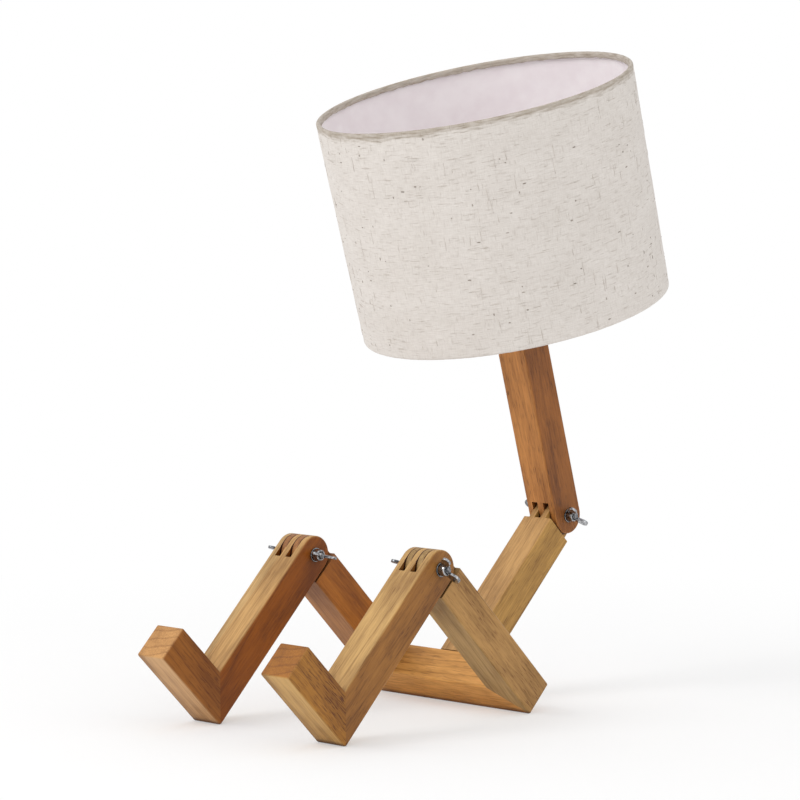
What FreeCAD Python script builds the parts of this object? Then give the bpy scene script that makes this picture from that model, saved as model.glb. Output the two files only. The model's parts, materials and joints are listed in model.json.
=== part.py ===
# Desk lamp shaped like a sitting robot, made of square wooden bars.
#
# Two bent legs, a cross bar at the hips and a lower torso form a frame that sits on
# its hip edge and its two heels. Both knees and the waist are finger hinges clamped
# by a wing bolt and a wing nut. The upper torso carries a lamp holder, a small bulb
# and a drum shade, which is the robot's head.
#
# Lengths are in millimetres and angles in degrees. The robot faces -Y, its left side
# is +X and +Z is up. The origin is on the table, at the middle of the lamp's outline.

import FreeCAD
import Part
import Sketcher
import math
import os

Vector = FreeCAD.Vector
Rotation = FreeCAD.Rotation
Placement = FreeCAD.Placement

# Driving dimensions

SIZES = {
    # Wooden bars: they are square, and their long edges are eased.
    "bar_width": 24.0,
    "edge_round": 1.2,
    "corner_round": 2.0,
    "leg_spacing": 110.0,
    "thigh_length": 128.0,
    "shin_length": 128.0,
    "foot_length": 66.5,
    "lower_torso_length": 138.0,
    "upper_torso_length": 141.0,
    "thigh_slope": 45.0,
    "torso_lean": 16.0,
    # Finger hinges: two tongues between three tines.
    "finger": 4.8,
    "finger_play": 0.25,
    "slot_gap": 0.5,
    "shoulder_gap": 1.0,
    # Dowels that hold the glued corners.
    "dowel_radius": 3.0,
    "dowel_length": 16.0,
    "torso_dowel_length": 36.0,
    "glue_gap": 0.05,
    # Wing bolts, wing nuts and washers.
    "bolt_radius": 2.0,
    "bolt_play": 0.05,
    "bolt_end": 1.6,
    "bolt_bevel": 0.5,
    "washer_radius": 4.5,
    "washer_thickness": 0.8,
    "hub_foot_radius": 4.0,
    "hub_top_radius": 3.5,
    "hub_height": 4.6,
    "wing_reach": 10.0,
    "wing_height": 10.5,
    "wing_lobe_radius": 3.0,
    "wing_thickness": 1.8,
    "wing_foot": 0.7,
    "wing_shy": 0.5,
    "wing_leave_angle": 47.0,
    "wing_return_angle": 150.0,
    # Drum shade: fabric rolled over two wire rings, with a lining inside. It widens a
    # little towards its upper rim.
    "shade_radius": 101.0,
    "shade_top_radius": 103.2,
    "shade_height": 148.0,
    "fabric_thickness": 0.4,
    "lining_thickness": 0.3,
    "lining_gap": 0.15,
    "wire_radius": 1.0,
    "wire_play": 0.15,
    "layer_gap": 0.05,
    "fitter_width": 4.0,
    "fitter_thickness": 2.0,
    "spoke_radius": 0.9,
    "spoke_weld": 0.6,
    "spoke_notch": 4.0,
    # Lamp holder, from the top of the upper torso up.
    "nipple_radius": 5.0,
    "nipple_wall": 1.3,
    "nipple_depth": 20.0,
    "nipple_rise": 9.0,
    "locknut_flats": 14.0,
    "locknut_thickness": 3.0,
    "cap_height": 20.0,
    "cap_foot_radius": 11.5,
    "holder_wall": 2.2,
    "holder_floor": 2.6,
    "holder_ledge": 1.5,
    "sleeve_radius": 19.0,
    "sleeve_height": 32.0,
    "flange_width": 2.6,
    "flange_height": 3.0,
    "ring_nut_width": 4.0,
    "ring_nut_height": 9.0,
    "ring_nut_bevel": 1.0,
    "screw_fit": 0.1,
    "block_height": 5.0,
    "block_rise": 1.0,
    "shell_radius": 14.0,
    "shell_wall": 0.4,
    "shell_height": 22.0,
    "contact_radius": 3.2,
    "contact_top_radius": 1.6,
    "contact_height": 1.6,
    # Bulb.
    "base_radius": 13.1,
    "base_height": 22.0,
    "base_taper": 3.2,
    "base_foot_radius": 6.4,
    "base_wall": 0.8,
    "tip_radius": 4.0,
    "tip_bevel": 1.2,
    "tip_height": 2.0,
    "globe_radius": 22.5,
    "globe_rise": 33.0,
    "globe_wall": 0.9,
    "globe_seat": 0.3,
    "globe_leave_angle": 18.4,
    # Cord inlet at the back of the upper torso.
    "inlet_drop": 27.0,
    "inlet_radius": 4.5,
    "bushing_bore": 2.8,
    "bushing_flange": 6.5,
    "bushing_lip": 1.5,
    "bushing_bevel": 0.7,
}

# Directions of one wing of each nut and bolt head, as they were last turned by hand.
# The angle runs from the robot's back (+Y) towards up (+Z), seen from the robot's left.
WING_ANGLES = {
    "left": {"nut": -53.0, "bolt": 148.0},
    "right": {"nut": -15.0, "bolt": 100.0},
    "waist": {"nut": -38.0, "bolt": 92.0},
}

doc = FreeCAD.newDocument("robot_desk_lamp")
sheet = doc.addObject("Spreadsheet::Sheet", "Sizes")


class Size:
    """A number together with the spreadsheet formula that drives it."""

    def __init__(self, value, text):
        self.value = value
        self.text = text

    def _join(self, sign, other, value):
        return Size(value, f"({self.text} {sign} {as_size(other).text})")

    def __add__(self, other):
        return self._join("+", other, self.value + as_size(other).value)

    def __sub__(self, other):
        return self._join("-", other, self.value - as_size(other).value)

    def __mul__(self, other):
        return self._join("*", other, self.value * as_size(other).value)

    def __truediv__(self, other):
        return self._join("/", other, self.value / as_size(other).value)

    def __radd__(self, other):
        return as_size(other) + self

    def __rsub__(self, other):
        return as_size(other) - self

    def __rmul__(self, other):
        return as_size(other) * self

    def __neg__(self):
        return Size(-self.value, f"(0 - {self.text})")


def as_size(number):
    """A plain number as a Size, and a Size as it is."""
    if isinstance(number, Size):
        return number
    return Size(float(number), repr(float(number)))


def sin_of(angle):
    return Size(math.sin(math.radians(angle.value)), f"sin({angle.text})")


def cos_of(angle):
    return Size(math.cos(math.radians(angle.value)), f"cos({angle.text})")


def size(name):
    """One driving dimension from the sheet."""
    return Size(SIZES[name], f"Sizes.{name}")


for row, (alias, number) in enumerate(SIZES.items(), start=1):
    sheet.set(f"A{row}", alias)
    sheet.set(f"B{row}", str(number))
    sheet.setAlias(f"B{row}", alias)
doc.recompute()

BAR = size("bar_width")
HALF = BAR / 2
ROUND = size("edge_round")
CORNER = size("corner_round")
CORNER_SHY = CORNER * (1 - math.sqrt(0.5))
THROUGH = BAR * 2
MITRE = 45.0
PARTS = []

# Sketches and features


class Arc:
    """A corner that is reached by an arc: its end, its centre as a hint, its radius."""

    def __init__(self, u, v, centre, radius, ccw=True):
        self.u = u
        self.v = v
        self.centre = centre
        self.radius = radius
        self.ccw = ccw


def new_body(name):
    """An empty body that becomes one sub-part."""
    body = doc.addObject("PartDesign::Body", name)
    body.Label = name
    return body


def new_sketch(body, name, plane):
    """An empty sketch on one of the body's own origin planes."""
    sketch = body.newObject("Sketcher::SketchObject", name)
    support = [f for f in body.Origin.OriginFeatures if f.Role == plane][0]
    sketch.AttachmentSupport = [(support, "")]
    sketch.MapMode = "FlatFace"
    return sketch


def pin_point(sketch, index, place, u, v):
    """Ties a point of a sketch to two sizes, measured from the sketch's origin."""
    for kind, distance in (("DistanceX", u), ("DistanceY", v)):
        rule = Sketcher.Constraint(kind, -1, 1, index, place, distance.value)
        number = sketch.addConstraint(rule)
        sketch.setExpression(f"Constraints[{number}]", distance.text)


def add_outline(sketch, corners):
    """A closed outline through corners, with lines or arcs between them."""
    ends = [(as_size(c.u), as_size(c.v)) if isinstance(c, Arc)
            else (as_size(c[0]), as_size(c[1])) for c in corners]
    points = [Vector(u.value, v.value, 0) for u, v in ends]
    first = sketch.GeometryCount
    senses = []
    for index, corner in enumerate(corners):
        start = points[index - 1]
        finish = points[index]
        if isinstance(corner, Arc):
            centre = Vector(as_size(corner.centre[0]).value, as_size(corner.centre[1]).value, 0)
            circle = Part.Circle(centre, Vector(0, 0, 1), as_size(corner.radius).value)
            low, high = (start, finish) if corner.ccw else (finish, start)
            arc = Part.ArcOfCircle(circle, circle.parameter(low), circle.parameter(high))
            sketch.addGeometry(arc, False)
            senses.append(corner.ccw)
        else:
            sketch.addGeometry(Part.LineSegment(start, finish), False)
            senses.append(True)
    total = len(corners)
    for index in range(total):
        after = (index + 1) % total
        finish_end = 2 if senses[index] else 1
        start_end = 1 if senses[after] else 2
        sketch.addConstraint(Sketcher.Constraint("Coincident", first + index, finish_end,
                                                 first + after, start_end))
        pin_point(sketch, first + index, finish_end, *ends[index])
        if isinstance(corners[index], Arc):
            radius = as_size(corners[index].radius)
            number = sketch.addConstraint(Sketcher.Constraint("Radius", first + index, radius.value))
            sketch.setExpression(f"Constraints[{number}]", radius.text)


def add_circle(sketch, u, v, radius):
    """A circle at a point that is tied to two sizes."""
    u, v, radius = as_size(u), as_size(v), as_size(radius)
    circle = Part.Circle(Vector(u.value, v.value, 0), Vector(0, 0, 1), radius.value)
    index = sketch.addGeometry(circle, False)
    pin_point(sketch, index, 3, u, v)
    number = sketch.addConstraint(Sketcher.Constraint("Radius", index, radius.value))
    sketch.setExpression(f"Constraints[{number}]", radius.text)


def pad(body, sketch, length, side="Symmetric"):
    """Adds a sketch as a plate."""
    feature = body.newObject("PartDesign::Pad", sketch.Name + "_pad")
    feature.Profile = sketch
    feature.SideType = side
    length = as_size(length)
    feature.Length = length.value
    feature.setExpression("Length", length.text)
    doc.recompute()
    return feature


def pocket(body, sketch, length, side="Symmetric"):
    """Cuts a sketch out of the body and checks that it took something away."""
    before = body.Shape.Volume
    feature = body.newObject("PartDesign::Pocket", sketch.Name + "_cut")
    feature.Profile = sketch
    feature.SideType = side
    length = as_size(length)
    feature.Length = length.value
    feature.setExpression("Length", length.text)
    doc.recompute()
    if body.Shape.Volume >= before:
        raise ValueError(f"{body.Name}: {feature.Name} cuts nothing")
    return feature


def revolve(body, sketch):
    """Turns a sketch on the XZ plane about the body's Z axis."""
    feature = body.newObject("PartDesign::Revolution", sketch.Name + "_turn")
    feature.Profile = sketch
    feature.ReferenceAxis = (sketch, ["V_Axis"])
    feature.Angle = 360
    doc.recompute()
    return feature


def fillet(body, radius, wanted):
    """Rounds the edges of the body that pass the test wanted."""
    base = body.Tip
    names = [f"Edge{i}" for i, edge in enumerate(base.Shape.Edges, start=1) if wanted(edge)]
    feature = body.newObject("PartDesign::Fillet", body.Name + "_round")
    feature.Base = (base, names)
    feature.Radius = radius.value
    feature.setExpression("Radius", radius.text)
    doc.recompute()
    return feature


def polar(body, feature, count):
    """Repeats a feature round the body's Z axis."""
    pattern = body.newObject("PartDesign::PolarPattern", feature.Name + "_ring")
    pattern.Originals = [feature]
    axis = [f for f in body.Origin.OriginFeatures if f.Role == "Z_Axis"][0]
    pattern.Axis = (axis, [""])
    pattern.Angle = 360
    pattern.Occurrences = count
    body.Tip = pattern
    doc.recompute()
    return pattern


def is_line_along(edge, axis):
    """True for a straight edge that runs along an axis."""
    if not isinstance(edge.Curve, Part.Line):
        return False
    return abs(abs(edge.Curve.Direction.dot(axis)) - 1) < 1e-6


def finish(part, placement):
    """Puts a finished sub-part in its place and keeps it for export."""
    part.Placement = placement
    PARTS.append(part)
    return part


# Where things are, from the sizes

def turn_x(angle):
    return Rotation(Vector(1, 0, 0), angle)


def in_side_plane(length, angle):
    """A vector in the YZ plane, with its angle measured from +Y towards +Z."""
    turn = math.radians(angle)
    return Vector(0, length * math.cos(turn), length * math.sin(turn))


SLOPE = SIZES["thigh_slope"]
LEAN = SIZES["torso_lean"]
HALF_BAR = SIZES["bar_width"] / 2
LEG_X = SIZES["leg_spacing"] / 2

# The knee stands as high as the sloping thigh and its resting edge make it.
EDGE = SIZES["edge_round"]
KNEE_HEIGHT = ((SIZES["thigh_length"] - EDGE) * math.sin(math.radians(SLOPE))
               + (HALF_BAR - EDGE) * math.cos(math.radians(SLOPE)) + EDGE)

# The shin slopes down from there until its eased heel touches the table.
HEEL = SIZES["corner_round"]
HEEL_DOWN = SIZES["shin_length"] - HEEL
HEEL_IN = HALF_BAR - HEEL
SHIN_SLOPE = math.degrees(math.asin((KNEE_HEIGHT - HEEL) / math.hypot(HEEL_DOWN, HEEL_IN))
                          - math.atan2(HEEL_IN, HEEL_DOWN))

# Everything below is measured from the knee axis first, then moved to the origin.
THIGH_WAY = in_side_plane(1, -SLOPE)
TORSO_WAY = in_side_plane(1, 90 - SLOPE)
HEAD_WAY = in_side_plane(1, 90 + LEAN)
PELVIS = THIGH_WAY * (SIZES["thigh_length"] - HALF_BAR)
WAIST = PELVIS + TORSO_WAY * SIZES["lower_torso_length"]
SHADE_FOOT = WAIST + HEAD_WAY * SIZES["upper_torso_length"]

# The lamp's front is the toe of the sole and its back is the lower rim of the shade.
SHIN_WAY = in_side_plane(1, 180 + SHIN_SLOPE)
FOOT_WAY = in_side_plane(1, 90 + SHIN_SLOPE)
TOE = SHIN_WAY * SIZES["shin_length"] + FOOT_WAY * (SIZES["foot_length"] - HALF_BAR)
FRONT = TOE.y
BACK = SHADE_FOOT.y + SIZES["shade_radius"] * math.cos(math.radians(LEAN))
KNEE = Vector(0, -(FRONT + BACK) / 2, KNEE_HEIGHT)


def leg_frame(side, turn):
    """The knee of one leg, with the local Z axis turned along a bar of the leg."""
    return Placement(KNEE + Vector(side * LEG_X, 0, 0), turn_x(turn))


SHIN_TURN = 90 + SHIN_SLOPE
THIGH_TURN = -90 - SLOPE
TORSO_TURN = 180 - SLOPE
HIP_FRAME = Placement(KNEE, turn_x(THIGH_TURN))
WAIST_FRAME = Placement(KNEE + WAIST, turn_x(TORSO_TURN))
HEAD_FRAME = Placement(KNEE + WAIST, turn_x(LEAN))
TOP_FRAME = Placement(KNEE + SHADE_FOOT, turn_x(LEAN))

# Finger hinges

FINGER = size("finger")
PLAY = size("finger_play")
SLOT_END = HALF + size("slot_gap")
SHOULDER = HALF + size("shoulder_gap")
BOLT_HOLE = size("bolt_radius") + size("bolt_play")
X_AXIS = Vector(1, 0, 0)
Z_AXIS = Vector(0, 0, 1)


def cut_bolt_hole(body):
    """The hole along the hinge axis, through the whole width of the bar."""
    sketch = new_sketch(body, body.Name + "_hole", "YZ_Plane")
    add_circle(sketch, 0, 0, BOLT_HOLE)
    pocket(body, sketch, THROUGH)


def cut_fork_slots(body):
    """Two slots from the rounded end of a bar, which leave three tines."""
    beyond = BAR
    for side, name in ((1, "left"), (-1, "right")):
        sketch = new_sketch(body, f"{body.Name}_slot_{name}", "XZ_Plane")
        inner = FINGER / 2 * side
        outer = FINGER * 1.5 * side
        add_outline(sketch, [(inner, -beyond), (outer, -beyond), (outer, SLOT_END), (inner, SLOT_END)])
        pocket(body, sketch, THROUGH)


def add_tongues(body):
    """Two rounded tongues on the square shoulder of a bar."""
    root = SHOULDER + HALF
    sketch = new_sketch(body, body.Name + "_tongue", "YZ_Plane")
    add_outline(sketch, [
        (-HALF, root),
        (-HALF, 0),
        Arc(0, -HALF, (0, 0), HALF),
        Arc(HALF, 0, (0, 0), HALF),
        (HALF, root),
    ])
    pad(body, sketch, FINGER * 3 - PLAY * 2)
    gap = new_sketch(body, body.Name + "_gap", "XZ_Plane")
    side = FINGER / 2 + PLAY
    add_outline(gap, [(-side, -BAR), (side, -BAR), (side, SHOULDER), (-side, SHOULDER)])
    pocket(body, gap, THROUGH)


def fork_profile(end):
    """Side view of a bar with a rounded hinge end, closed by its other end's corners."""
    return [Arc(0, -HALF, (0, 0), HALF), Arc(HALF, 0, (0, 0), HALF)] + end + [(-HALF, 0)]


# Legs

SHIN = size("shin_length")
THIGH = size("thigh_length")


def bore(body, name, radius, depth, placement):
    """A round blind hole that starts at a placement and runs along its Z axis."""
    before = body.Shape.Volume
    hole = body.newObject("PartDesign::SubtractiveCylinder", name)
    hole.Placement = placement
    hole.setExpression("Radius", radius.text)
    hole.setExpression("Height", depth.text)
    doc.recompute()
    if body.Shape.Volume >= before:
        raise ValueError(f"{body.Name}: {name} cuts nothing")


def middle_out(centre, turn, length):
    """The start of something of a length that is centred on a point of a body."""
    return Placement(centre, turn).multiply(Placement(Vector(0, 0, -length / 2), Rotation()))


DOWEL_HOLE = size("dowel_radius") + size("glue_gap")
DOWEL = size("dowel_length")
TORSO_DOWEL = size("torso_dowel_length")
HEEL_MIDDLE = Vector(0, 0, SIZES["shin_length"] - HALF_BAR)
HEEL_TURN = turn_x(-MITRE)
HIP_MIDDLE = Vector(LEG_X, 0, SIZES["thigh_length"] - HALF_BAR)
TORSO_FOOT = Vector(0, 0, SIZES["lower_torso_length"] - HALF_BAR)


def hip_turn(side):
    """Square to the mitre between a thigh and the hip bar."""
    return Rotation(Vector(0, 1, 0), MITRE * side)


def make_shin(name, side):
    """Fork at the knee, mitre with an eased corner at the heel."""
    body = new_body(name)
    sketch = new_sketch(body, name + "_side", "YZ_Plane")
    bend = (-HALF + CORNER, SHIN - CORNER)
    add_outline(sketch, fork_profile([
        (HALF, SHIN - BAR),
        (-HALF + CORNER_SHY, SHIN - CORNER_SHY),
        Arc(-HALF, SHIN - CORNER, bend, CORNER),
    ]))
    pad(body, sketch, BAR)
    fillet(body, ROUND, lambda edge: is_line_along(edge, Z_AXIS))
    cut_fork_slots(body)
    cut_bolt_hole(body)
    bore(body, name + "_dowel_hole", DOWEL_HOLE, DOWEL, middle_out(HEEL_MIDDLE, HEEL_TURN, DOWEL.value))
    return finish(body, leg_frame(side, SHIN_TURN))


def make_foot(name, side):
    """Mitred to the shin at the heel, square at the toe."""
    body = new_body(name)
    sketch = new_sketch(body, name + "_side", "YZ_Plane")
    toe = size("foot_length") - HALF
    bend = (-HALF + CORNER, SHIN - CORNER)
    add_outline(sketch, [
        (HALF, SHIN - BAR),
        (toe, SHIN - BAR),
        (toe, SHIN),
        (-HALF + CORNER, SHIN),
        Arc(-HALF + CORNER_SHY, SHIN - CORNER_SHY, bend, CORNER),
    ])
    pad(body, sketch, BAR)
    end = toe.value
    fillet(body, ROUND, lambda edge: is_line_along(edge, Vector(0, 1, 0))
           or all(abs(vertex.Y - end) < 1e-6 for vertex in edge.Vertexes))
    bore(body, name + "_dowel_hole", DOWEL_HOLE, DOWEL, middle_out(HEEL_MIDDLE, HEEL_TURN, DOWEL.value))
    return finish(body, leg_frame(side, SHIN_TURN))


def make_thigh(name, side):
    """Tongues at the knee, mitre with an eased corner at the hip."""
    body = new_body(name)
    sketch = new_sketch(body, name + "_side", "YZ_Plane")
    add_outline(sketch, [(-HALF, SHOULDER), (HALF, SHOULDER), (HALF, THIGH), (-HALF, THIGH)])
    pad(body, sketch, BAR)
    mitre = new_sketch(body, name + "_mitre", "XZ_Plane")
    inner = -HALF * side
    outer = HALF * side
    past = BAR * side
    bend = (outer - CORNER * side, THIGH - CORNER)
    corners = [
        (inner - past, THIGH + BAR),
        (inner - past, THIGH - BAR),
        (inner, THIGH - BAR),
        (outer - CORNER_SHY * side, THIGH - CORNER_SHY),
        Arc(outer, THIGH - CORNER, bend, CORNER, ccw=side < 0),
        (outer + past, THIGH - CORNER),
        (outer + past, THIGH + BAR),
    ]
    add_outline(mitre, corners)
    pocket(body, mitre, THROUGH)
    fillet(body, ROUND, lambda edge: is_line_along(edge, Z_AXIS))
    add_tongues(body)
    cut_bolt_hole(body)
    middle = Vector(0, 0, HIP_MIDDLE.z)
    bore(body, name + "_dowel_hole", DOWEL_HOLE, DOWEL, middle_out(middle, hip_turn(-side), DOWEL.value))
    return finish(body, leg_frame(side, THIGH_TURN))


# Hips and torso

# The torso stands on the hip bar's rear face, square to the thighs.
PELVIS_MIDDLE = Placement(Vector(0, 0, SIZES["thigh_length"] - HALF_BAR), turn_x(90))


def make_pelvis():
    """The cross bar between the thighs, mitred at both ends."""
    body = new_body("pelvis_bar")
    sketch = new_sketch(body, "pelvis_outline", "XZ_Plane")
    half = size("leg_spacing") / 2
    end = half + HALF
    bend_left = (end - CORNER, THIGH - CORNER)
    bend_right = (-end + CORNER, THIGH - CORNER)
    corners = [
        (end - BAR, THIGH - BAR),
        (end - CORNER_SHY, THIGH - CORNER_SHY),
        Arc(end - CORNER, THIGH, bend_left, CORNER),
        (-end + CORNER, THIGH),
        Arc(-end + CORNER_SHY, THIGH - CORNER_SHY, bend_right, CORNER),
        (-end + BAR, THIGH - BAR),
    ]
    add_outline(sketch, corners)
    pad(body, sketch, BAR)
    fillet(body, ROUND, lambda edge: is_line_along(edge, X_AXIS))
    for side, name in ((1, "left"), (-1, "right")):
        middle = Vector(side * HIP_MIDDLE.x, 0, HIP_MIDDLE.z)
        bore(body, f"pelvis_dowel_hole_{name}", DOWEL_HOLE, DOWEL,
             middle_out(middle, hip_turn(-side), DOWEL.value))
    seat = PELVIS_MIDDLE.multiply(Placement(Vector(0, 0, HALF_BAR), Rotation()))
    bore(body, "pelvis_torso_dowel_hole", DOWEL_HOLE, TORSO_DOWEL,
         seat.multiply(Placement(Vector(0, 0, -TORSO_DOWEL.value / 2), Rotation())))
    return finish(body, HIP_FRAME)


def make_lower_torso():
    """Tongues at the waist, square end glued on the hip bar."""
    body = new_body("lower_torso")
    sketch = new_sketch(body, "lower_torso_side", "YZ_Plane")
    foot = size("lower_torso_length") - HALF
    add_outline(sketch, [(-HALF, SHOULDER), (HALF, SHOULDER), (HALF, foot), (-HALF, foot)])
    pad(body, sketch, BAR)
    fillet(body, ROUND, lambda edge: is_line_along(edge, Z_AXIS))
    add_tongues(body)
    cut_bolt_hole(body)
    bore(body, "lower_torso_dowel_hole", DOWEL_HOLE, TORSO_DOWEL,
         middle_out(TORSO_FOOT, Rotation(), TORSO_DOWEL.value))
    return finish(body, WAIST_FRAME)


UPPER = size("upper_torso_length")
NIPPLE = size("nipple_radius")
FIT = size("screw_fit")


def make_upper_torso():
    """Fork at the waist, with a bore for the lamp holder and an inlet behind."""
    body = new_body("upper_torso")
    sketch = new_sketch(body, "upper_torso_side", "YZ_Plane")
    add_outline(sketch, fork_profile([(HALF, UPPER), (-HALF, UPPER)]))
    pad(body, sketch, BAR)
    fillet(body, ROUND, lambda edge: is_line_along(edge, Z_AXIS))
    cut_fork_slots(body)
    cut_bolt_hole(body)
    depth = size("inlet_drop") + size("inlet_radius")
    bottom = Vector(0, 0, (UPPER - depth).value)
    bore(body, "upper_torso_bore", NIPPLE + FIT, depth * 2, Placement(bottom, Rotation()))
    inlet = Vector(0, 0, (UPPER - size("inlet_drop")).value)
    bore(body, "upper_torso_inlet", size("inlet_radius") + FIT, BAR, Placement(inlet, turn_x(-90)))
    return finish(body, HEAD_FRAME)


def make_dowel(name, frame, length_name):
    """A plain beech dowel that starts at a frame and runs along its Z axis."""
    dowel = doc.addObject("Part::Cylinder", name)
    dowel.Label = name
    dowel.setExpression("Radius", size("dowel_radius").text)
    dowel.setExpression("Height", size(length_name).text)
    doc.recompute()
    return finish(dowel, frame)


# Wing bolts, wing nuts and washers. Each is made standing on Z = 0, with its axis on Z,
# and then laid along the hinge axis.

HUB = size("hub_height")
WASHER = size("washer_thickness")
BOLT = size("bolt_radius")


def axle_frame(centre, offset, wing_angle=0.0):
    """On the hinge axis at an offset towards +X, with the first wing at an angle."""
    turn = Rotation(Vector(0, 1, 0), 90).multiply(Rotation(Z_AXIS, wing_angle + 90))
    return Placement(centre + Vector(offset, 0, 0), turn)


def add_wings(body, way):
    """Two rounded wings that spread from the hub, on the side of it that way gives."""
    lobe = size("wing_lobe_radius")
    lobe_u = size("wing_reach") - lobe
    lobe_v = (size("wing_height") - lobe) * way
    leave = size("wing_leave_angle")
    back = size("wing_return_angle")
    root = BOLT_HOLE + size("wing_shy")
    foot = size("wing_foot") * way
    crown = (HUB - size("wing_shy")) * way
    sketch = new_sketch(body, body.Name + "_wing", "XZ_Plane")
    add_outline(sketch, [
        (root, foot),
        (size("hub_top_radius"), foot),
        (lobe_u + lobe * cos_of(leave), lobe_v - lobe * sin_of(leave) * way),
        Arc(lobe_u + lobe * cos_of(back), lobe_v + lobe * sin_of(back) * way,
            (lobe_u, lobe_v), lobe, ccw=way > 0),
        (root, crown),
    ])
    wing = pad(body, sketch, size("wing_thickness"))
    polar(body, wing, 2)


def make_wing_bolt(name, frame):
    """Hub with two wings, and a shank through both washers, the bar and the nut."""
    body = new_body(name)
    shank = WASHER + BAR + WASHER + HUB + size("bolt_end")
    tip = size("bolt_bevel")
    sketch = new_sketch(body, name + "_turned", "XZ_Plane")
    add_outline(sketch, [
        (0, -HUB),
        (size("hub_top_radius"), -HUB),
        (size("hub_foot_radius"), 0),
        (BOLT, 0),
        (BOLT, shank - tip),
        (BOLT - tip, shank),
        (0, shank),
    ])
    revolve(body, sketch)
    add_wings(body, -1)
    return finish(body, frame)


def make_wing_nut(name, frame):
    """Hub with two wings, bored for the bolt."""
    body = new_body(name)
    sketch = new_sketch(body, name + "_turned", "XZ_Plane")
    add_outline(sketch, [
        (BOLT_HOLE, 0),
        (size("hub_foot_radius"), 0),
        (size("hub_top_radius"), HUB),
        (BOLT_HOLE, HUB),
    ])
    revolve(body, sketch)
    add_wings(body, 1)
    return finish(body, frame)


def make_washer(name, frame):
    body = new_body(name)
    sketch = new_sketch(body, name + "_ring", "XY_Plane")
    add_circle(sketch, 0, 0, size("washer_radius"))
    add_circle(sketch, 0, 0, BOLT_HOLE)
    pad(body, sketch, WASHER, side="One side")
    return finish(body, frame)


def make_clamp(joint, place, centre):
    """Wing bolt, two washers and wing nut of one hinge."""
    nut_face = HALF_BAR + WASHER.value
    angles = WING_ANGLES[place]
    make_wing_bolt(f"{joint}_wing_bolt", axle_frame(centre, -nut_face, angles["bolt"]))
    make_washer(f"{joint}_bolt_washer", axle_frame(centre, -nut_face))
    make_washer(f"{joint}_nut_washer", axle_frame(centre, HALF_BAR))
    make_wing_nut(f"{joint}_wing_nut", axle_frame(centre, nut_face, angles["nut"]))


# Shade. It is measured from the top of the upper torso, which is level with its lower rim.

RIM = size("shade_radius")
TOP_RIM = size("shade_top_radius")
TALL = size("shade_height")
CLOTH = size("fabric_thickness")
WIRE = size("wire_radius")
ROLL_BORE = WIRE + size("wire_play")
ROLL = ROLL_BORE + CLOTH
LAYER = size("layer_gap")
DEPTH = ROLL * 2
FLANGE_TOP = size("cap_height") + size("flange_height")
SLEEVE = size("sleeve_radius")
FITTER_BORE = SLEEVE + FIT
SPOKES = 3


def turned(name, corners):
    """A body turned about the shade's axis."""
    body = new_body(name)
    sketch = new_sketch(body, name + "_profile", "XZ_Plane")
    add_outline(sketch, corners)
    revolve(body, sketch)
    return body


def wall_radius(height):
    """The outside radius of the shade at a height above its lower rim."""
    return RIM + (TOP_RIM - RIM) * (height - ROLL) / (TALL - DEPTH)


def make_shade_cover():
    """The fabric drum, rolled inwards over a wire at each rim and notched for the spokes."""
    inner = RIM - ROLL * 2
    middle = RIM - ROLL
    top_inner = TOP_RIM - ROLL * 2
    top_middle = TOP_RIM - ROLL
    top = TALL - ROLL
    up = (top_middle, top)
    low = (middle, ROLL)
    body = turned("shade_cover", [
        (TOP_RIM, top),
        Arc(top_middle, TALL, up, ROLL),
        Arc(top_inner, top, up, ROLL),
        (top_inner, TALL - DEPTH),
        (top_inner + CLOTH, TALL - DEPTH),
        (top_inner + CLOTH, top),
        Arc(top_middle, TALL - CLOTH, up, ROLL_BORE, ccw=False),
        Arc(TOP_RIM - CLOTH, top, up, ROLL_BORE, ccw=False),
        (RIM - CLOTH, ROLL),
        Arc(middle, CLOTH, low, ROLL_BORE, ccw=False),
        Arc(inner + CLOTH, ROLL, low, ROLL_BORE, ccw=False),
        (inner + CLOTH, DEPTH),
        (inner, DEPTH),
        (inner, ROLL),
        Arc(middle, 0, low, ROLL),
        Arc(RIM, ROLL, low, ROLL),
    ])
    notch = new_sketch(body, "shade_cover_notch", "XZ_Plane")
    add_outline(notch, [
        (inner - CLOTH, CLOTH),
        (inner + CLOTH * 2, CLOTH),
        (inner + CLOTH * 2, DEPTH + CLOTH),
        (inner - CLOTH, DEPTH + CLOTH),
    ])
    polar(body, pocket(body, notch, size("spoke_notch")), SPOKES)
    return finish(body, TOP_FRAME)


def make_shade_lining():
    """The smooth inner layer, between the two rolled rims."""
    inset = CLOTH + size("lining_gap")
    wall = size("lining_thickness")
    low = DEPTH + size("lining_gap")
    high = TALL - low
    foot = wall_radius(low) - inset
    head = wall_radius(high) - inset
    body = turned("shade_lining", [(foot - wall, low), (foot, low), (head, high), (head - wall, high)])
    return finish(body, TOP_FRAME)


def make_top_wire():
    """The wire ring inside the upper rolled rim."""
    body = new_body("shade_top_wire")
    sketch = new_sketch(body, "shade_top_wire_section", "XZ_Plane")
    add_circle(sketch, TOP_RIM - ROLL, TALL - ROLL, WIRE)
    revolve(body, sketch)
    return finish(body, TOP_FRAME)


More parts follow.
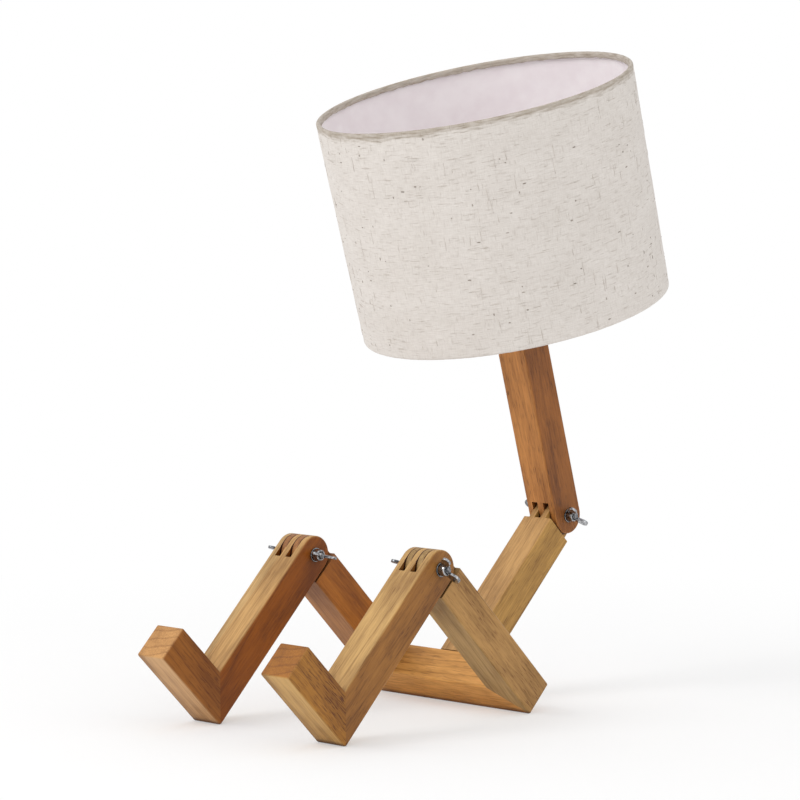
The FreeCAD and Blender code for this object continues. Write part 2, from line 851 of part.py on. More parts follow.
def make_shade_frame():
    """Fitter ring on the holder, three spokes and the lower rim's wire, welded together."""
    middle = FLANGE_TOP + size("fitter_thickness") / 2
    start = FITTER_BORE + size("fitter_width") - size("spoke_weld")
    rise = middle - ROLL
    run = RIM - ROLL - start
    length = math.hypot(rise.value, run.value)
    slope = math.degrees(math.atan2(rise.value, run.value))
    rim = doc.addObject("Part::Torus", "lower_rim_wire")
    rim.setExpression("Radius1", (RIM - ROLL).text)
    rim.setExpression("Radius2", WIRE.text)
    rim.setExpression("Placement.Base.z", ROLL.text)
    outer = doc.addObject("Part::Cylinder", "fitter_outer")
    outer.setExpression("Radius", (FITTER_BORE + size("fitter_width")).text)
    outer.setExpression("Height", size("fitter_thickness").text)
    outer.setExpression("Placement.Base.z", FLANGE_TOP.text)
    inner = doc.addObject("Part::Cylinder", "fitter_inner")
    inner.setExpression("Radius", FITTER_BORE.text)
    inner.setExpression("Height", (size("fitter_thickness") * 3).text)
    inner.setExpression("Placement.Base.z", (FLANGE_TOP - size("fitter_thickness")).text)
    ring = doc.addObject("Part::Cut", "fitter_ring")
    ring.Base = outer
    ring.Tool = inner
    pieces = [rim, ring]
    for number in range(SPOKES):
        spoke = doc.addObject("Part::Cylinder", f"spoke_{number}")
        spoke.setExpression("Radius", size("spoke_radius").text)
        spoke.Height = length
        way = Rotation(Z_AXIS, number * 360 / SPOKES)
        lean = way.multiply(Rotation(Vector(0, 1, 0), 90 + slope))
        spoke.Placement = Placement(way.multVec(Vector(start.value, 0, middle.value)), lean)
        pieces.append(spoke)
    frame = doc.addObject("Part::MultiFuse", "shade_frame")
    frame.Label = "shade_frame"
    frame.Shapes = pieces
    doc.recompute()
    return finish(frame, TOP_FRAME)


# Lamp holder and bulb, on the same axis

FLOOR = size("holder_floor")
WALL = size("holder_wall")
CAP = size("cap_height")
HOLDER_TOP = CAP + size("sleeve_height")
BLOCK_TOP = FLANGE_TOP + size("block_rise")
BLOCK_FOOT = BLOCK_TOP - size("block_height")
SHELL = size("shell_radius")
CONTACT_TOP = BLOCK_TOP + size("contact_height")
TIP_FOOT = CONTACT_TOP + LAYER
TIP_TOP = TIP_FOOT + size("tip_height")
BASE = size("base_radius")
BASE_TOP = TIP_TOP + size("base_height")
GLOBE = size("globe_radius")
GLOBE_MIDDLE = BASE_TOP + size("globe_rise")
GLOBE_WALL = size("globe_wall")
GLOBE_LEAVES = size("globe_leave_angle")


def make_nipple():
    """Threaded tube from the bar into the holder, with the cord's way through it."""
    inner = NIPPLE - size("nipple_wall")
    low = -size("nipple_depth")
    high = size("nipple_rise")
    tube = turned("holder_nipple", [(inner, low), (NIPPLE, low), (NIPPLE, high), (inner, high)])
    return finish(tube, TOP_FRAME)


def make_locknut():
    """Hexagon nut that holds the cap down on the bar."""
    body = new_body("holder_locknut")
    sketch = new_sketch(body, "locknut_hexagon", "XY_Plane")
    corner = size("locknut_flats") / (2 * math.cos(math.radians(30)))
    corners = []
    for number in range(6):
        angle = Size(60.0 * number, repr(60.0 * number))
        corners.append((corner * cos_of(angle), corner * sin_of(angle)))
    add_outline(sketch, corners)
    add_circle(sketch, 0, 0, NIPPLE + LAYER)
    pad(body, sketch, size("locknut_thickness"), side="One side")
    seat = Placement(Vector(0, 0, (FLOOR + LAYER).value), Rotation())
    return finish(body, TOP_FRAME.multiply(seat))


def make_holder_cap():
    """The round-shouldered lower half of the lamp holder."""
    foot = size("cap_foot_radius")
    bend = SLEEVE - foot
    inside = SLEEVE - WALL
    hollow = inside - foot
    hole = NIPPLE + FIT
    ledge = size("holder_ledge")
    ledge_top = BLOCK_FOOT - LAYER
    body = turned("holder_cap", [
        (hole, 0),
        (foot, 0),
        Arc(SLEEVE, bend, (foot, bend), bend),
        (SLEEVE, CAP),
        (inside, CAP),
        (inside, ledge_top),
        (inside - ledge, ledge_top),
        (inside, ledge_top - ledge),
        (inside, FLOOR + hollow),
        Arc(foot, FLOOR, (foot, FLOOR + hollow), hollow, ccw=False),
        (hole, FLOOR),
    ])
    return finish(body, TOP_FRAME)


def make_holder_sleeve():
    """The upper half, with the flange that the shade's frame rests on."""
    brim = SLEEVE + size("flange_width")
    inside = SLEEVE - WALL
    throat = SHELL + FIT
    rib = BLOCK_TOP + LAYER
    body = turned("holder_sleeve", [
        (inside, CAP + LAYER),
        (brim, CAP + LAYER),
        (brim, FLANGE_TOP),
        (SLEEVE, FLANGE_TOP),
        (SLEEVE, HOLDER_TOP),
        (throat, HOLDER_TOP),
        (throat, HOLDER_TOP - WALL),
        (inside, HOLDER_TOP - WALL),
        (inside, rib + WALL),
        (throat, rib + WALL),
        (throat, rib),
        (inside, rib),
    ])
    return finish(body, TOP_FRAME)


def make_ring_nut():
    """Screwed down on the sleeve to clamp the shade's frame."""
    foot = FLANGE_TOP + size("fitter_thickness") + LAYER
    top = foot + size("ring_nut_height")
    bore_radius = SLEEVE + FIT
    brim = SLEEVE + size("ring_nut_width")
    bevel = size("ring_nut_bevel")
    body = turned("shade_ring_nut", [
        (bore_radius, foot),
        (brim, foot),
        (brim, top - bevel),
        (brim - bevel, top),
        (bore_radius, top),
    ])
    return finish(body, TOP_FRAME)


def make_contacts():
    """Insulating block, threaded shell and sprung centre contact."""
    inside = SLEEVE - WALL - FIT
    finish(turned("holder_block", [
        (0, BLOCK_FOOT),
        (inside, BLOCK_FOOT),
        (inside, BLOCK_TOP),
        (0, BLOCK_TOP),
    ]), TOP_FRAME)
    wall = SHELL - size("shell_wall")
    high = BLOCK_TOP + size("shell_height")
    shell = turned("holder_shell", [(wall, BLOCK_TOP), (SHELL, BLOCK_TOP), (SHELL, high), (wall, high)])
    finish(shell, TOP_FRAME)
    contact = turned("holder_contact", [
        (0, BLOCK_TOP),
        (size("contact_radius"), BLOCK_TOP),
        (size("contact_top_radius"), CONTACT_TOP),
        (0, CONTACT_TOP),
    ])
    finish(contact, TOP_FRAME)


def make_bulb():
    """Tip, screw base and opal globe of a small round bulb."""
    tip = size("tip_radius")
    finish(turned("bulb_tip", [
        (0, TIP_FOOT),
        (tip - size("tip_bevel"), TIP_FOOT),
        (tip, TIP_TOP),
        (0, TIP_TOP),
    ]), TOP_FRAME)
    foot = size("base_foot_radius")
    wall = size("base_wall")
    shoulder = TIP_TOP + size("base_taper")
    finish(turned("bulb_base", [
        (0, TIP_TOP),
        (foot, TIP_TOP),
        (BASE, shoulder),
        (BASE, BASE_TOP),
        (BASE - wall, BASE_TOP),
        (BASE - wall, shoulder),
        (foot - wall, TIP_TOP + wall),
        (0, TIP_TOP + wall),
    ]), TOP_FRAME)
    neck = BASE - size("globe_seat")
    inside = GLOBE - GLOBE_WALL
    middle = (0, GLOBE_MIDDLE)
    finish(turned("bulb_globe", [
        (neck - GLOBE_WALL, BASE_TOP),
        (neck, BASE_TOP),
        (GLOBE * cos_of(GLOBE_LEAVES), GLOBE_MIDDLE - GLOBE * sin_of(GLOBE_LEAVES)),
        Arc(0, GLOBE_MIDDLE + GLOBE, middle, GLOBE),
        (0, GLOBE_MIDDLE + inside),
        Arc(inside * cos_of(GLOBE_LEAVES), GLOBE_MIDDLE - inside * sin_of(GLOBE_LEAVES),
            middle, inside, ccw=False),
    ]), TOP_FRAME)


def make_bushing():
    """Lines the cord inlet behind the upper torso."""
    outside = size("inlet_radius")
    inside = size("bushing_bore")
    length = HALF - NIPPLE - FIT * 2
    lip = size("bushing_lip")
    body = turned("cord_bushing", [
        (inside, -length),
        (outside, -length),
        (outside, 0),
        (size("bushing_flange"), 0),
        (size("bushing_flange") - size("bushing_bevel"), lip),
        (inside, lip),
    ])
    seat = Placement(Vector(0, HALF_BAR, (UPPER - size("inlet_drop")).value), turn_x(-90))
    return finish(body, HEAD_FRAME.multiply(seat))


# Build

for side_name, side in (("left", 1), ("right", -1)):
    knee = leg_frame(side, SHIN_TURN)
    hip = leg_frame(side, THIGH_TURN)
    make_shin(f"shin_{side_name}", side)
    make_foot(f"foot_{side_name}", side)
    make_thigh(f"thigh_{side_name}", side)
    make_dowel(f"heel_dowel_{side_name}",
               knee.multiply(middle_out(HEEL_MIDDLE, HEEL_TURN, DOWEL.value)), "dowel_length")
    make_dowel(f"hip_dowel_{side_name}",
               hip.multiply(middle_out(Vector(0, 0, HIP_MIDDLE.z), hip_turn(-side), DOWEL.value)),
               "dowel_length")
    make_clamp(f"knee_{side_name}", side_name, knee.Base)
make_pelvis()
make_lower_torso()
make_dowel("torso_dowel", WAIST_FRAME.multiply(middle_out(TORSO_FOOT, Rotation(), TORSO_DOWEL.value)),
           "torso_dowel_length")
make_upper_torso()
make_clamp("waist", "waist", WAIST_FRAME.Base)
make_bushing()
make_nipple()
make_locknut()
make_holder_cap()
make_holder_sleeve()
make_contacts()
make_ring_nut()
make_shade_frame()
make_shade_cover()
make_shade_lining()
make_top_wire()
make_bulb()

doc.recompute()
os.makedirs("parts", exist_ok=True)
for thing in doc.Objects:
    if "Invalid" in thing.State or "Error" in thing.State:
        raise ValueError(f"{thing.Name} failed: {thing.State}")
for part in PARTS:
    if part.Shape.isNull() or not part.Shape.isValid():
        raise ValueError(f"{part.Label} has no valid shape")
for part in PARTS:
    part.Shape.exportStep(f"parts/{part.Label}.step")
    print(part.Label, round(part.Shape.Volume), len(part.Shape.Solids))
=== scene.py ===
import json
import math
import bmesh
import bpy
from mathutils import Matrix, Vector, noise


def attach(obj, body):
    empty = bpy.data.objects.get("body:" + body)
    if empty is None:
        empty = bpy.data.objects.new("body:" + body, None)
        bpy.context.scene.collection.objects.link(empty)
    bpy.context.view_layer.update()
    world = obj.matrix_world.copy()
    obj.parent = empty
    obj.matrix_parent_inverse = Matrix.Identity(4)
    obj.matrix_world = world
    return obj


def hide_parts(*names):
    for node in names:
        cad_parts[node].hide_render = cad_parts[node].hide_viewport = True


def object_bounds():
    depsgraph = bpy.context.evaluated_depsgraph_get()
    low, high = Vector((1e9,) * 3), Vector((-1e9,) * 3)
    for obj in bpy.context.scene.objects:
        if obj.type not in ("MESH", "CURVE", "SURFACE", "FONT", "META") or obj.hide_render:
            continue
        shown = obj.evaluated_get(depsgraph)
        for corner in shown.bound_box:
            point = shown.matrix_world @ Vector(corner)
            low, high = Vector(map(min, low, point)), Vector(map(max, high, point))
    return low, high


# %% [markdown]
# A desk lamp shaped like a sitting robot. Its bones are square bars of oiled beech, its
# joints are finger hinges with wing nuts, and its head is a drum shade of slubby linen.
# The wood bars come ready made from the construction model. This script gives them their
# grain, and makes the small and the soft pieces by hand, because those carry the looks.

# %% Load the construction model
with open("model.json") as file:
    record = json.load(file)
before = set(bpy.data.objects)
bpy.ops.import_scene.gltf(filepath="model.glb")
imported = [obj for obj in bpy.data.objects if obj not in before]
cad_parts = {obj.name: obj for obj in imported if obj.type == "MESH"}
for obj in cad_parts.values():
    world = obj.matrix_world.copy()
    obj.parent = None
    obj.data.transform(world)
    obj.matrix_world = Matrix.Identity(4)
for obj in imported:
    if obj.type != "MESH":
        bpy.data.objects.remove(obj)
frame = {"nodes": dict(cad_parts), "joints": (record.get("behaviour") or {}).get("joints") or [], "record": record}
cad_low, cad_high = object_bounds()
joint_at = {joint["name"]: Vector(joint["pos_m"]) for joint in frame["joints"]}
mount_axis = {mount["name"]: Vector(mount["axis"]) for mount in frame["record"]["mounts"]}
MM = 0.001

# %% [markdown]
# The camera stands where the photograph's lens stood: to the front and left of the
# robot, just above table height. Its long lens keeps the bars' edges almost parallel.

# %% Camera
CAMERA_PLACE = Vector((1.4034, -1.4542, 0.3351))
CAMERA_LOOKS = Vector((-0.6982, 0.7126, -0.0686))
CAMERA_LENS = 143.8
CAMERA_SENSOR = 36.0

lens = bpy.data.cameras.new("camera")
lens.lens = CAMERA_LENS
lens.sensor_width = CAMERA_SENSOR
lens.clip_end = 100
camera = bpy.data.objects.new("camera", lens)
camera.location = CAMERA_PLACE
camera.rotation_euler = CAMERA_LOOKS.to_track_quat("-Z", "Y").to_euler()
bpy.context.scene.collection.objects.link(camera)
bpy.context.scene.camera = camera
bpy.context.scene.view_settings.view_transform = "Standard"

# %% [markdown]
# Every material is a small tree of nodes. One helper adds any node with its settings and
# its links, and one turns a hex colour, as a picture shows it, to the linear colour that
# light is computed in.

# %% Helpers for materials


def hex_colour(text):
    """A colour as pictures write it, turned to linear light."""
    channels = [int(text[i:i + 2], 16) / 255 for i in (1, 3, 5)]
    linear = [c / 12.92 if c <= 0.04045 else ((c + 0.055) / 1.055) ** 2.4 for c in channels]
    return (*linear, 1.0)


def add_node(tree, kind, inputs=None, **settings):
    """Adds a node. An input is a plain value, an output, or a node, for its first output.

    A kind without a family name, such as Math, is a shader node.
    """
    node = tree.nodes.new(kind if "Node" in kind else "ShaderNode" + kind)
    for name, value in settings.items():
        setattr(node, name, value)
    for key, value in (inputs or {}).items():
        if isinstance(value, bpy.types.Node):
            value = value.outputs[0]
        if isinstance(value, bpy.types.NodeSocket):
            tree.links.new(value, node.inputs[key])
        else:
            node.inputs[key].default_value = value
    return node


def new_material(name, inputs):
    """A material with one shader, whose plain values are set on its own sockets."""
    material = bpy.data.materials.new(name)
    material.use_nodes = True
    shader = material.node_tree.nodes["Principled BSDF"]
    for key, value in inputs.items():
        shader.inputs[key].default_value = value
    return material, material.node_tree, shader


# %% [markdown]
# The stage is a pale floor and a white surround. The light is mostly even, with one large
# soft lamp at the front left that lights the tops and the fronts of the bars, so their
# side faces stay a tone darker. Past the lamp's own shadow the floor turns to plain white
# for the camera, so that no edge of it shows.

# %% Stage and light
FLOOR_SIZE = 30.0
FLOOR_DROP = 0.0002
SHADOW_REACH = 0.22
SHADOW_ENDS = 0.75
WORLD_LEVEL = 0.84


def make_floor():
    mesh = bpy.data.meshes.new("floor")
    half = FLOOR_SIZE / 2
    corners = [(x * half, y * half, -FLOOR_DROP) for x, y in ((-1, -1), (1, -1), (1, 1), (-1, 1))]
    mesh.from_pydata(corners, [], [(0, 1, 2, 3)])
    material, tree, shader = new_material("white_floor", {"Roughness": 0.9})
    shader.inputs["Base Color"].default_value = hex_colour("#FAFAFA")
    coords = add_node(tree, "TexCoord")
    away = add_node(tree, "VectorMath", {0: coords.outputs["Object"]}, operation="LENGTH")
    fade = add_node(tree, "MapRange", {0: away.outputs["Value"], 1: SHADOW_REACH, 2: SHADOW_ENDS, 3: 0.35,
                                       4: 1.0}, interpolation_type="SMOOTHSTEP")
    path = add_node(tree, "LightPath")
    seen = add_node(tree, "Math", {0: path.outputs["Is Camera Ray"], 1: fade}, operation="MULTIPLY")
    white = add_node(tree, "Emission", {"Color": (1, 1, 1, 1), "Strength": 1.0})
    mixed = add_node(tree, "MixShader", {0: seen, 1: shader, 2: white})
    tree.links.new(mixed.outputs[0], tree.nodes["Material Output"].inputs["Surface"])
    floor = bpy.data.objects.new("floor", mesh)
    mesh.materials.append(material)
    bpy.context.scene.collection.objects.link(floor)


def make_lamp(name, place, target, width, power):
    """A large square lamp that faces the target."""
    data = bpy.data.lights.new(name, "AREA")
    data.size = width
    data.energy = power
    lamp = bpy.data.objects.new(name, data)
    lamp.location = place
    lamp.rotation_euler = (Vector(target) - Vector(place)).to_track_quat("-Z", "Y").to_euler()
    bpy.context.scene.collection.objects.link(lamp)


def make_surround():
    """Even light on the object, and white for the camera and for what gloss mirrors."""
    world = bpy.data.worlds.new("surround")
    world.use_nodes = True
    tree = world.node_tree
    tree.nodes.clear()
    even = add_node(tree, "Background", {"Color": (1, 1, 1, 1), "Strength": WORLD_LEVEL})
    white = add_node(tree, "Background", {"Color": (1, 1, 1, 1), "Strength": 1.0})
    path = add_node(tree, "LightPath")
    seen = path.outputs["Is Camera Ray"]
    for ray in ("Is Transmission Ray", "Is Glossy Ray"):
        seen = add_node(tree, "Math", {0: seen, 1: path.outputs[ray]}, operation="MAXIMUM")
    mixed = add_node(tree, "MixShader", {0: seen, 1: even, 2: white})
    add_node(tree, "OutputWorld", {"Surface": mixed})
    bpy.context.scene.world = world


make_floor()
make_surround()
MIDDLE = (cad_low + cad_high) / 2
make_lamp("front_left_lamp", (-1.0, -2.4, 2.2), MIDDLE, 1.6, 32)
make_lamp("right_lamp", (2.6, -0.4, 1.3), MIDDLE, 1.8, 7)
print("stage ready, world at", WORLD_LEVEL)

# %% [markdown]
# The bars are beech with an oiled, satin face: honey to tan, mottled, with faint growth
# rings and the short dark flecks that beech shows along its grain. A picture of wood would
# show the same board on every bar, so the grain is worked out in three dimensions from
# each bar's own length. Rings round a pith that lies outside the bar turn to arcs by
# themselves on a sawn end, and each bar gets its own two tones and its own pith.

# %% Directions of the bars
SHIN_WAY = mount_axis["left_sole"]
INLET_WAY = mount_axis["cord_inlet"]
HEAD_WAY = Vector((0, -INLET_WAY.z, INLET_WAY.y))
THIGH_SLOPE = math.radians(45)
THIGH_WAY = Vector((0, math.cos(THIGH_SLOPE), -math.sin(THIGH_SLOPE)))
FOOT_WAY = Vector((0, SHIN_WAY.z, -SHIN_WAY.y))
TORSO_WAY = Vector((0, math.sin(THIGH_SLOPE), math.cos(THIGH_SLOPE)))
ACROSS = Vector((1, 0, 0))
KNEE_LEFT = joint_at["left_knee"]
KNEE_RIGHT = joint_at["right_knee"]
WAIST = joint_at["waist"]


def turn_to(way):
    """Angles that turn the Z axis to a direction that is square to X, or to X itself."""
    if abs(way.x) > 0.5:
        return (0, math.radians(90), 0)
    return (math.atan2(-way.y, way.z), 0, 0)


# %% [markdown]
# The grain is a sum of patterns, each stretched along the bar: broad mottling some 15 mm
# across, streaks of 5 mm, rings 6 mm apart, fibres near 1 mm, and flecks 0.7 mm wide and
# 8 mm long. Real flecks are thinner, and are drawn as coarse as they need to show. The
# faces that look left and right get a darker tint that is painted shade, and the sawn
# ends get a tint of their own. A strip tint makes one bar look glued up from two boards.
# Corners that little light reaches get painted shade, and a thin line of painted shade
# runs along both edges of each finger of a hinge, where the fingers meet.

# %% Grain of the bars
# A pattern has its number of spots in a metre, twice across and once along, and its detail.
MOTTLE = ((66, 66, 21), 4.0)
STREAK = ((210, 210, 13), 2.0)
FIBRE = ((900, 900, 55), 3.0)
FLECK = ((1500, 1500, 130), 1.0)
BEND = ((45, 45, 7), 1.0)
MOTTLE_SHARE = 1.6
STREAK_SHARE = 0.42
FIBRE_SHARE = 0.9
LIGHTEST = 1.19
DARKEST = 1.87
RING_WIDTH = 6.0 * MM
RING_WANDER = 3.0
RING_THINNESS = 6.0
STRIP_STARTS = 2.4 * MM
STRIP_FULL = 1.9 * MM
PORE_EDGE = 0.1
RELIEF = 0.12 * MM
# Reach and samples of the painted shade in corners.
CORNER_SHADE_REACH = 3.5 * MM
CORNER_SHADE_SAMPLES = 6
FINGER = 4.8 * MM
HINGE_REACH = 13.0 * MM
# Width of the painted shade along the edges of the hinge's fingers.
FINGER_SHADE_WIDTH = 0.55 * MM
WHITE = "#FFFFFF"
FLECK_BROWN = "#6B421D"
# Brown of the painted shade in corners and along the edges of the hinge's fingers.
PAINTED_SHADE_BROWN = "#6B3E1E"


def painted_corner_shade(tree, reach, clean, most):
    """How much painted shade a corner gets, by how little open air is within reach of it."""
    air = add_node(tree, "AmbientOcclusion", {"Distance": reach}, samples=CORNER_SHADE_SAMPLES)
    return add_node(tree, "MapRange", {0: air.outputs["AO"], 1: 0.25, 2: clean, 3: most, 4: 0.0})


def finger_edge_shade(tree, along):
    """How much painted shade a point gets, by its distance from the edges of the hinge's fingers."""
    split = add_node(tree, "SeparateXYZ", {0: along})
    across = add_node(tree, "Math", {0: split.outputs[0]}, operation="ABSOLUTE")
    gaps = []
    for edge in (FINGER / 2, FINGER * 1.5):
        beside = add_node(tree, "Math", {0: across, 1: edge}, operation="SUBTRACT")
        gaps.append(add_node(tree, "Math", {0: beside}, operation="ABSOLUTE"))
    near = add_node(tree, "Math", {0: gaps[0], 1: gaps[1]}, operation="MINIMUM")
    line = add_node(tree, "MapRange", {0: near, 1: FINGER_SHADE_WIDTH * 0.4, 2: FINGER_SHADE_WIDTH, 3: 1.0, 4: 0.0})
    flat = add_node(tree, "VectorMath", {0: along, 1: (0, 1, 1)}, operation="MULTIPLY")
    away = add_node(tree, "VectorMath", {0: flat}, operation="LENGTH")
    hinge = add_node(tree, "Math", {0: away.outputs["Value"], 1: HINGE_REACH}, operation="LESS_THAN")
    return add_node(tree, "Math", {0: line, 1: hinge}, operation="MULTIPLY")


def beech_grain(name, place, way, light, dark, flecks, rings, side=WHITE, end=WHITE, strip=WHITE,
                pores=0.58, pith=(0.035, -0.06), lean=(0.03, 0.05)):
    """Oiled beech whose grain follows one bar. Flecks are given for front and sides; side is painted shade."""
    material, tree, shader = new_material(name, {"Specular IOR Level": 0.35})
    coords = add_node(tree, "TexCoord")
    along = add_node(tree, "Mapping", {0: coords.outputs["Object"], 1: place, 2: turn_to(way)},
                     vector_type="TEXTURE")

    def pattern(scale, detail):
        """Noise that is stretched along the bar."""
        stretched = add_node(tree, "VectorMath", {0: along, 1: scale}, operation="MULTIPLY")
        return add_node(tree, "TexNoise", {"Vector": stretched, "Scale": 1.0, "Detail": detail})

    mottle, streak, fibre, speck, bend = [pattern(*p) for p in (MOTTLE, STREAK, FIBRE, FLECK, BEND)]

    # Growth rings round the pith, which wander and show as thin dark lines.
    tilted = add_node(tree, "Mapping", {0: along, 1: (*pith, 0), 2: (*lean, 0)})
    flat = add_node(tree, "VectorMath", {0: tilted, 1: (1, 1, 0)}, operation="MULTIPLY")
    radius = add_node(tree, "VectorMath", {0: flat}, operation="LENGTH")
    count = add_node(tree, "Math", {0: radius.outputs["Value"], 1: 2 / RING_WIDTH}, operation="MULTIPLY")
    wobble = add_node(tree, "Math", {0: bend, 1: RING_WANDER, 2: count}, operation="MULTIPLY_ADD")
    phase = add_node(tree, "Math", {0: wobble, 1: 1.0}, operation="PINGPONG")
    ring = add_node(tree, "Math", {0: phase, 1: RING_THINNESS}, operation="POWER")
    total = add_node(tree, "Math", {0: ring, 1: rings}, operation="MULTIPLY")
    for noises, share in ((fibre, FIBRE_SHARE), (streak, STREAK_SHARE), (mottle, MOTTLE_SHARE)):
        total = add_node(tree, "Math", {0: noises, 1: share, 2: total}, operation="MULTIPLY_ADD")
    tone = add_node(tree, "MapRange", {0: total, 1: LIGHTEST, 2: DARKEST})

    # Where the second board, the flecks, the side faces, the sawn ends and the painted shade are.
    boards = add_node(tree, "SeparateXYZ", {0: tilted})
    second = add_node(tree, "MapRange", {0: boards.outputs[0], 1: pith[0] - STRIP_STARTS,
                                         2: pith[0] - STRIP_FULL})
    pit = add_node(tree, "MapRange", {0: speck, 1: pores, 2: pores + PORE_EDGE})
    region = add_node(tree, "MapRange", {0: mottle, 1: 0.38, 2: 0.62, 3: 0.25, 4: 1.0})
    dotted = add_node(tree, "Math", {0: pit, 1: region}, operation="MULTIPLY")
    normal = add_node(tree, "SeparateXYZ", {0: coords.outputs["Normal"]}).outputs[0]
    sideways = add_node(tree, "Math", {0: normal, 1: normal}, operation="MULTIPLY")
    strength = add_node(tree, "MapRange", {0: sideways, 3: flecks[0], 4: flecks[1]})
    deep = add_node(tree, "Math", {0: dotted, 1: strength}, operation="MULTIPLY")
    facing = add_node(tree, "VectorMath", {0: coords.outputs["Normal"], 1: way},
                      operation="DOT_PRODUCT").outputs["Value"]
    sawn = add_node(tree, "Math", {0: facing, 1: facing}, operation="MULTIPLY")
    # Painted shade: corners that little open air reaches, and the edges of the hinge's fingers.
    wood_corner_shade = painted_corner_shade(tree, CORNER_SHADE_REACH, 0.8, 0.8)
    painted_shade = add_node(tree, "Math", {0: wood_corner_shade, 1: finger_edge_shade(tree, along)}, operation="MAXIMUM")

    colour = add_node(tree, "Mix", {0: tone, 6: hex_colour(light), 7: hex_colour(dark)}, data_type="RGBA")
    # The side tint is painted shade on the faces that look left and right.
    for share, tint, how in ((second, strip, "MULTIPLY"), (deep, FLECK_BROWN, "MIX"),
                             (sideways, side, "MULTIPLY"), (sawn, end, "MULTIPLY"),
                             (painted_shade, PAINTED_SHADE_BROWN, "MULTIPLY")):
        colour = add_node(tree, "Mix", {0: share, 6: colour.outputs[2], 7: hex_colour(tint)},
                          data_type="RGBA", blend_type=how)
    tree.links.new(colour.outputs[2], shader.inputs["Base Color"])
    height = add_node(tree, "Math", {0: fibre, 1: 0.4, 2: pit}, operation="MULTIPLY_ADD")
    bump = add_node(tree, "Bump", {"Strength": 0.35, "Distance": RELIEF, "Height": height}, invert=True)
    tree.links.new(bump.outputs[0], shader.inputs["Normal"])
    rough = add_node(tree, "MapRange", {0: fibre, 3: 0.45, 4: 0.62})
    tree.links.new(rough.outputs[0], shader.inputs["Roughness"])
    return material


def paint(material, *nodes):
    """Gives pieces of the construction model a better material."""
    for node in nodes:
        mesh = frame["nodes"][node].data
        mesh.materials.clear()
        mesh.materials.append(material)


# %% Nine bars, each with its own tones
# Each bar's side tint is painted shade on its faces that look left and right.
BARS = {
    "shin_left": (KNEE_LEFT, SHIN_WAY, "#CCA365", "#9B7442", (0.5, 0.7), 0.35,
                  dict(side="#C4A67A", pith=(0.02, -0.03), lean=(0.05, 0.02))),
    "foot_left": (KNEE_LEFT, FOOT_WAY, "#CAA05F", "#99713D", (0.2, 1.1), 0.45,
                  dict(side="#D4B676", end="#D2AA62", pores=0.53, pith=(0.03, -0.03))),
    "thigh_left": (KNEE_LEFT, THIGH_WAY, "#B4915B", "#87683B", (0.4, 0.9), 0.25,
                   dict(side="#FFF0DE", pith=(-0.04, -0.05))),
    "shin_right": (KNEE_RIGHT, SHIN_WAY, "#CAA36B", "#987445", (0.35, 0.5), 0.35,
                   dict(side="#BA841C", strip="#FFF6E8", pith=(0.05, 0.02))),
    "foot_right": (KNEE_RIGHT, FOOT_WAY, "#CB9F6D", "#9B7147", (0.3, 0.8), 0.45,
                   dict(side="#C49C58", end="#FFF1D4", pith=(0.03, -0.03))),
    "thigh_right": (KNEE_RIGHT, THIGH_WAY, "#AE7640", "#82522A", (0.4, 0.6), 0.3,
                    dict(side="#FFE490", pith=(0.06, 0.04))),
    "pelvis_bar": (WAIST, ACROSS, "#E0A458", "#B07A3A", (0.5, 0.5), 0.35, {}),
    "lower_torso": (WAIST, TORSO_WAY, "#C89B60", "#966E3E", (0.4, 0.7), 0.25,
                    dict(side="#EFECC8", pith=(0.04, 0.03))),
    "upper_torso": (WAIST, HEAD_WAY, "#C98846", "#965F2C", (1.0, 0.8), 0.25,
                    dict(side="#C0B094", pith=(-0.05, 0.05), lean=(0.02, 0.03))),
}
for bar, (*tones, details) in BARS.items():
    paint(beech_grain(f"oiled_beech_{bar.removesuffix('_bar')}", *tones, **details), bar)
paint(beech_grain("plain_beech_dowels", WAIST, TORSO_WAY, "#D2B48C", "#B8956A", (0.3, 0.3), 0.1),
      "heel_dowel_left", "hip_dowel_left", "heel_dowel_right", "hip_dowel_right", "torso_dowel")
print("grain on 9 bars and 5 dowels")

# %% [markdown]
# The other rigid pieces share one way of finishing: a colour that drifts a little, a
# roughness that drifts with it, a fine bump from how the surface was made, and a darker
# tone painted in the corners as shade. Only the numbers differ.

# %% Finish of the small rigid pieces
SKIN_RELIEF = 0.05 * MM


def small_finish(name, clean, worn, corner_shade_colour, rough, grain, bump, reach=1.6 * MM, **inputs):
    """A drifting finish. Grain is the size of the drift and reach that of the painted shade in corners."""
    material, tree, shader = new_material(name, {key.replace("_", " "): inputs[key] for key in inputs})
    coords = add_node(tree, "TexCoord")
    drift = add_node(tree, "TexNoise", {"Vector": coords.outputs["Object"], "Scale": 1 / grain,
                                        "Detail": 3.0})
    spread = add_node(tree, "MapRange", {0: drift, 1: 0.35, 2: 0.65})
    colour = add_node(tree, "Mix", {0: spread, 6: hex_colour(clean), 7: hex_colour(worn)}, data_type="RGBA")
    corner_shade_share = painted_corner_shade(tree, reach, 0.92, 1.0)
    final = add_node(tree, "Mix", {0: corner_shade_share, 6: colour.outputs[2], 7: hex_colour(corner_shade_colour)}, data_type="RGBA")
    tree.links.new(final.outputs[2], shader.inputs["Base Color"])
    gloss = add_node(tree, "MapRange", {0: drift, 1: 0.3, 2: 0.7, 3: rough[0], 4: rough[1]})
    tree.links.new(gloss.outputs[0], shader.inputs["Roughness"])
    relief = add_node(tree, "Bump", {"Strength": bump, "Distance": SKIN_RELIEF, "Height": drift})
    tree.links.new(relief.outputs[0], shader.inputs["Normal"])
    return material


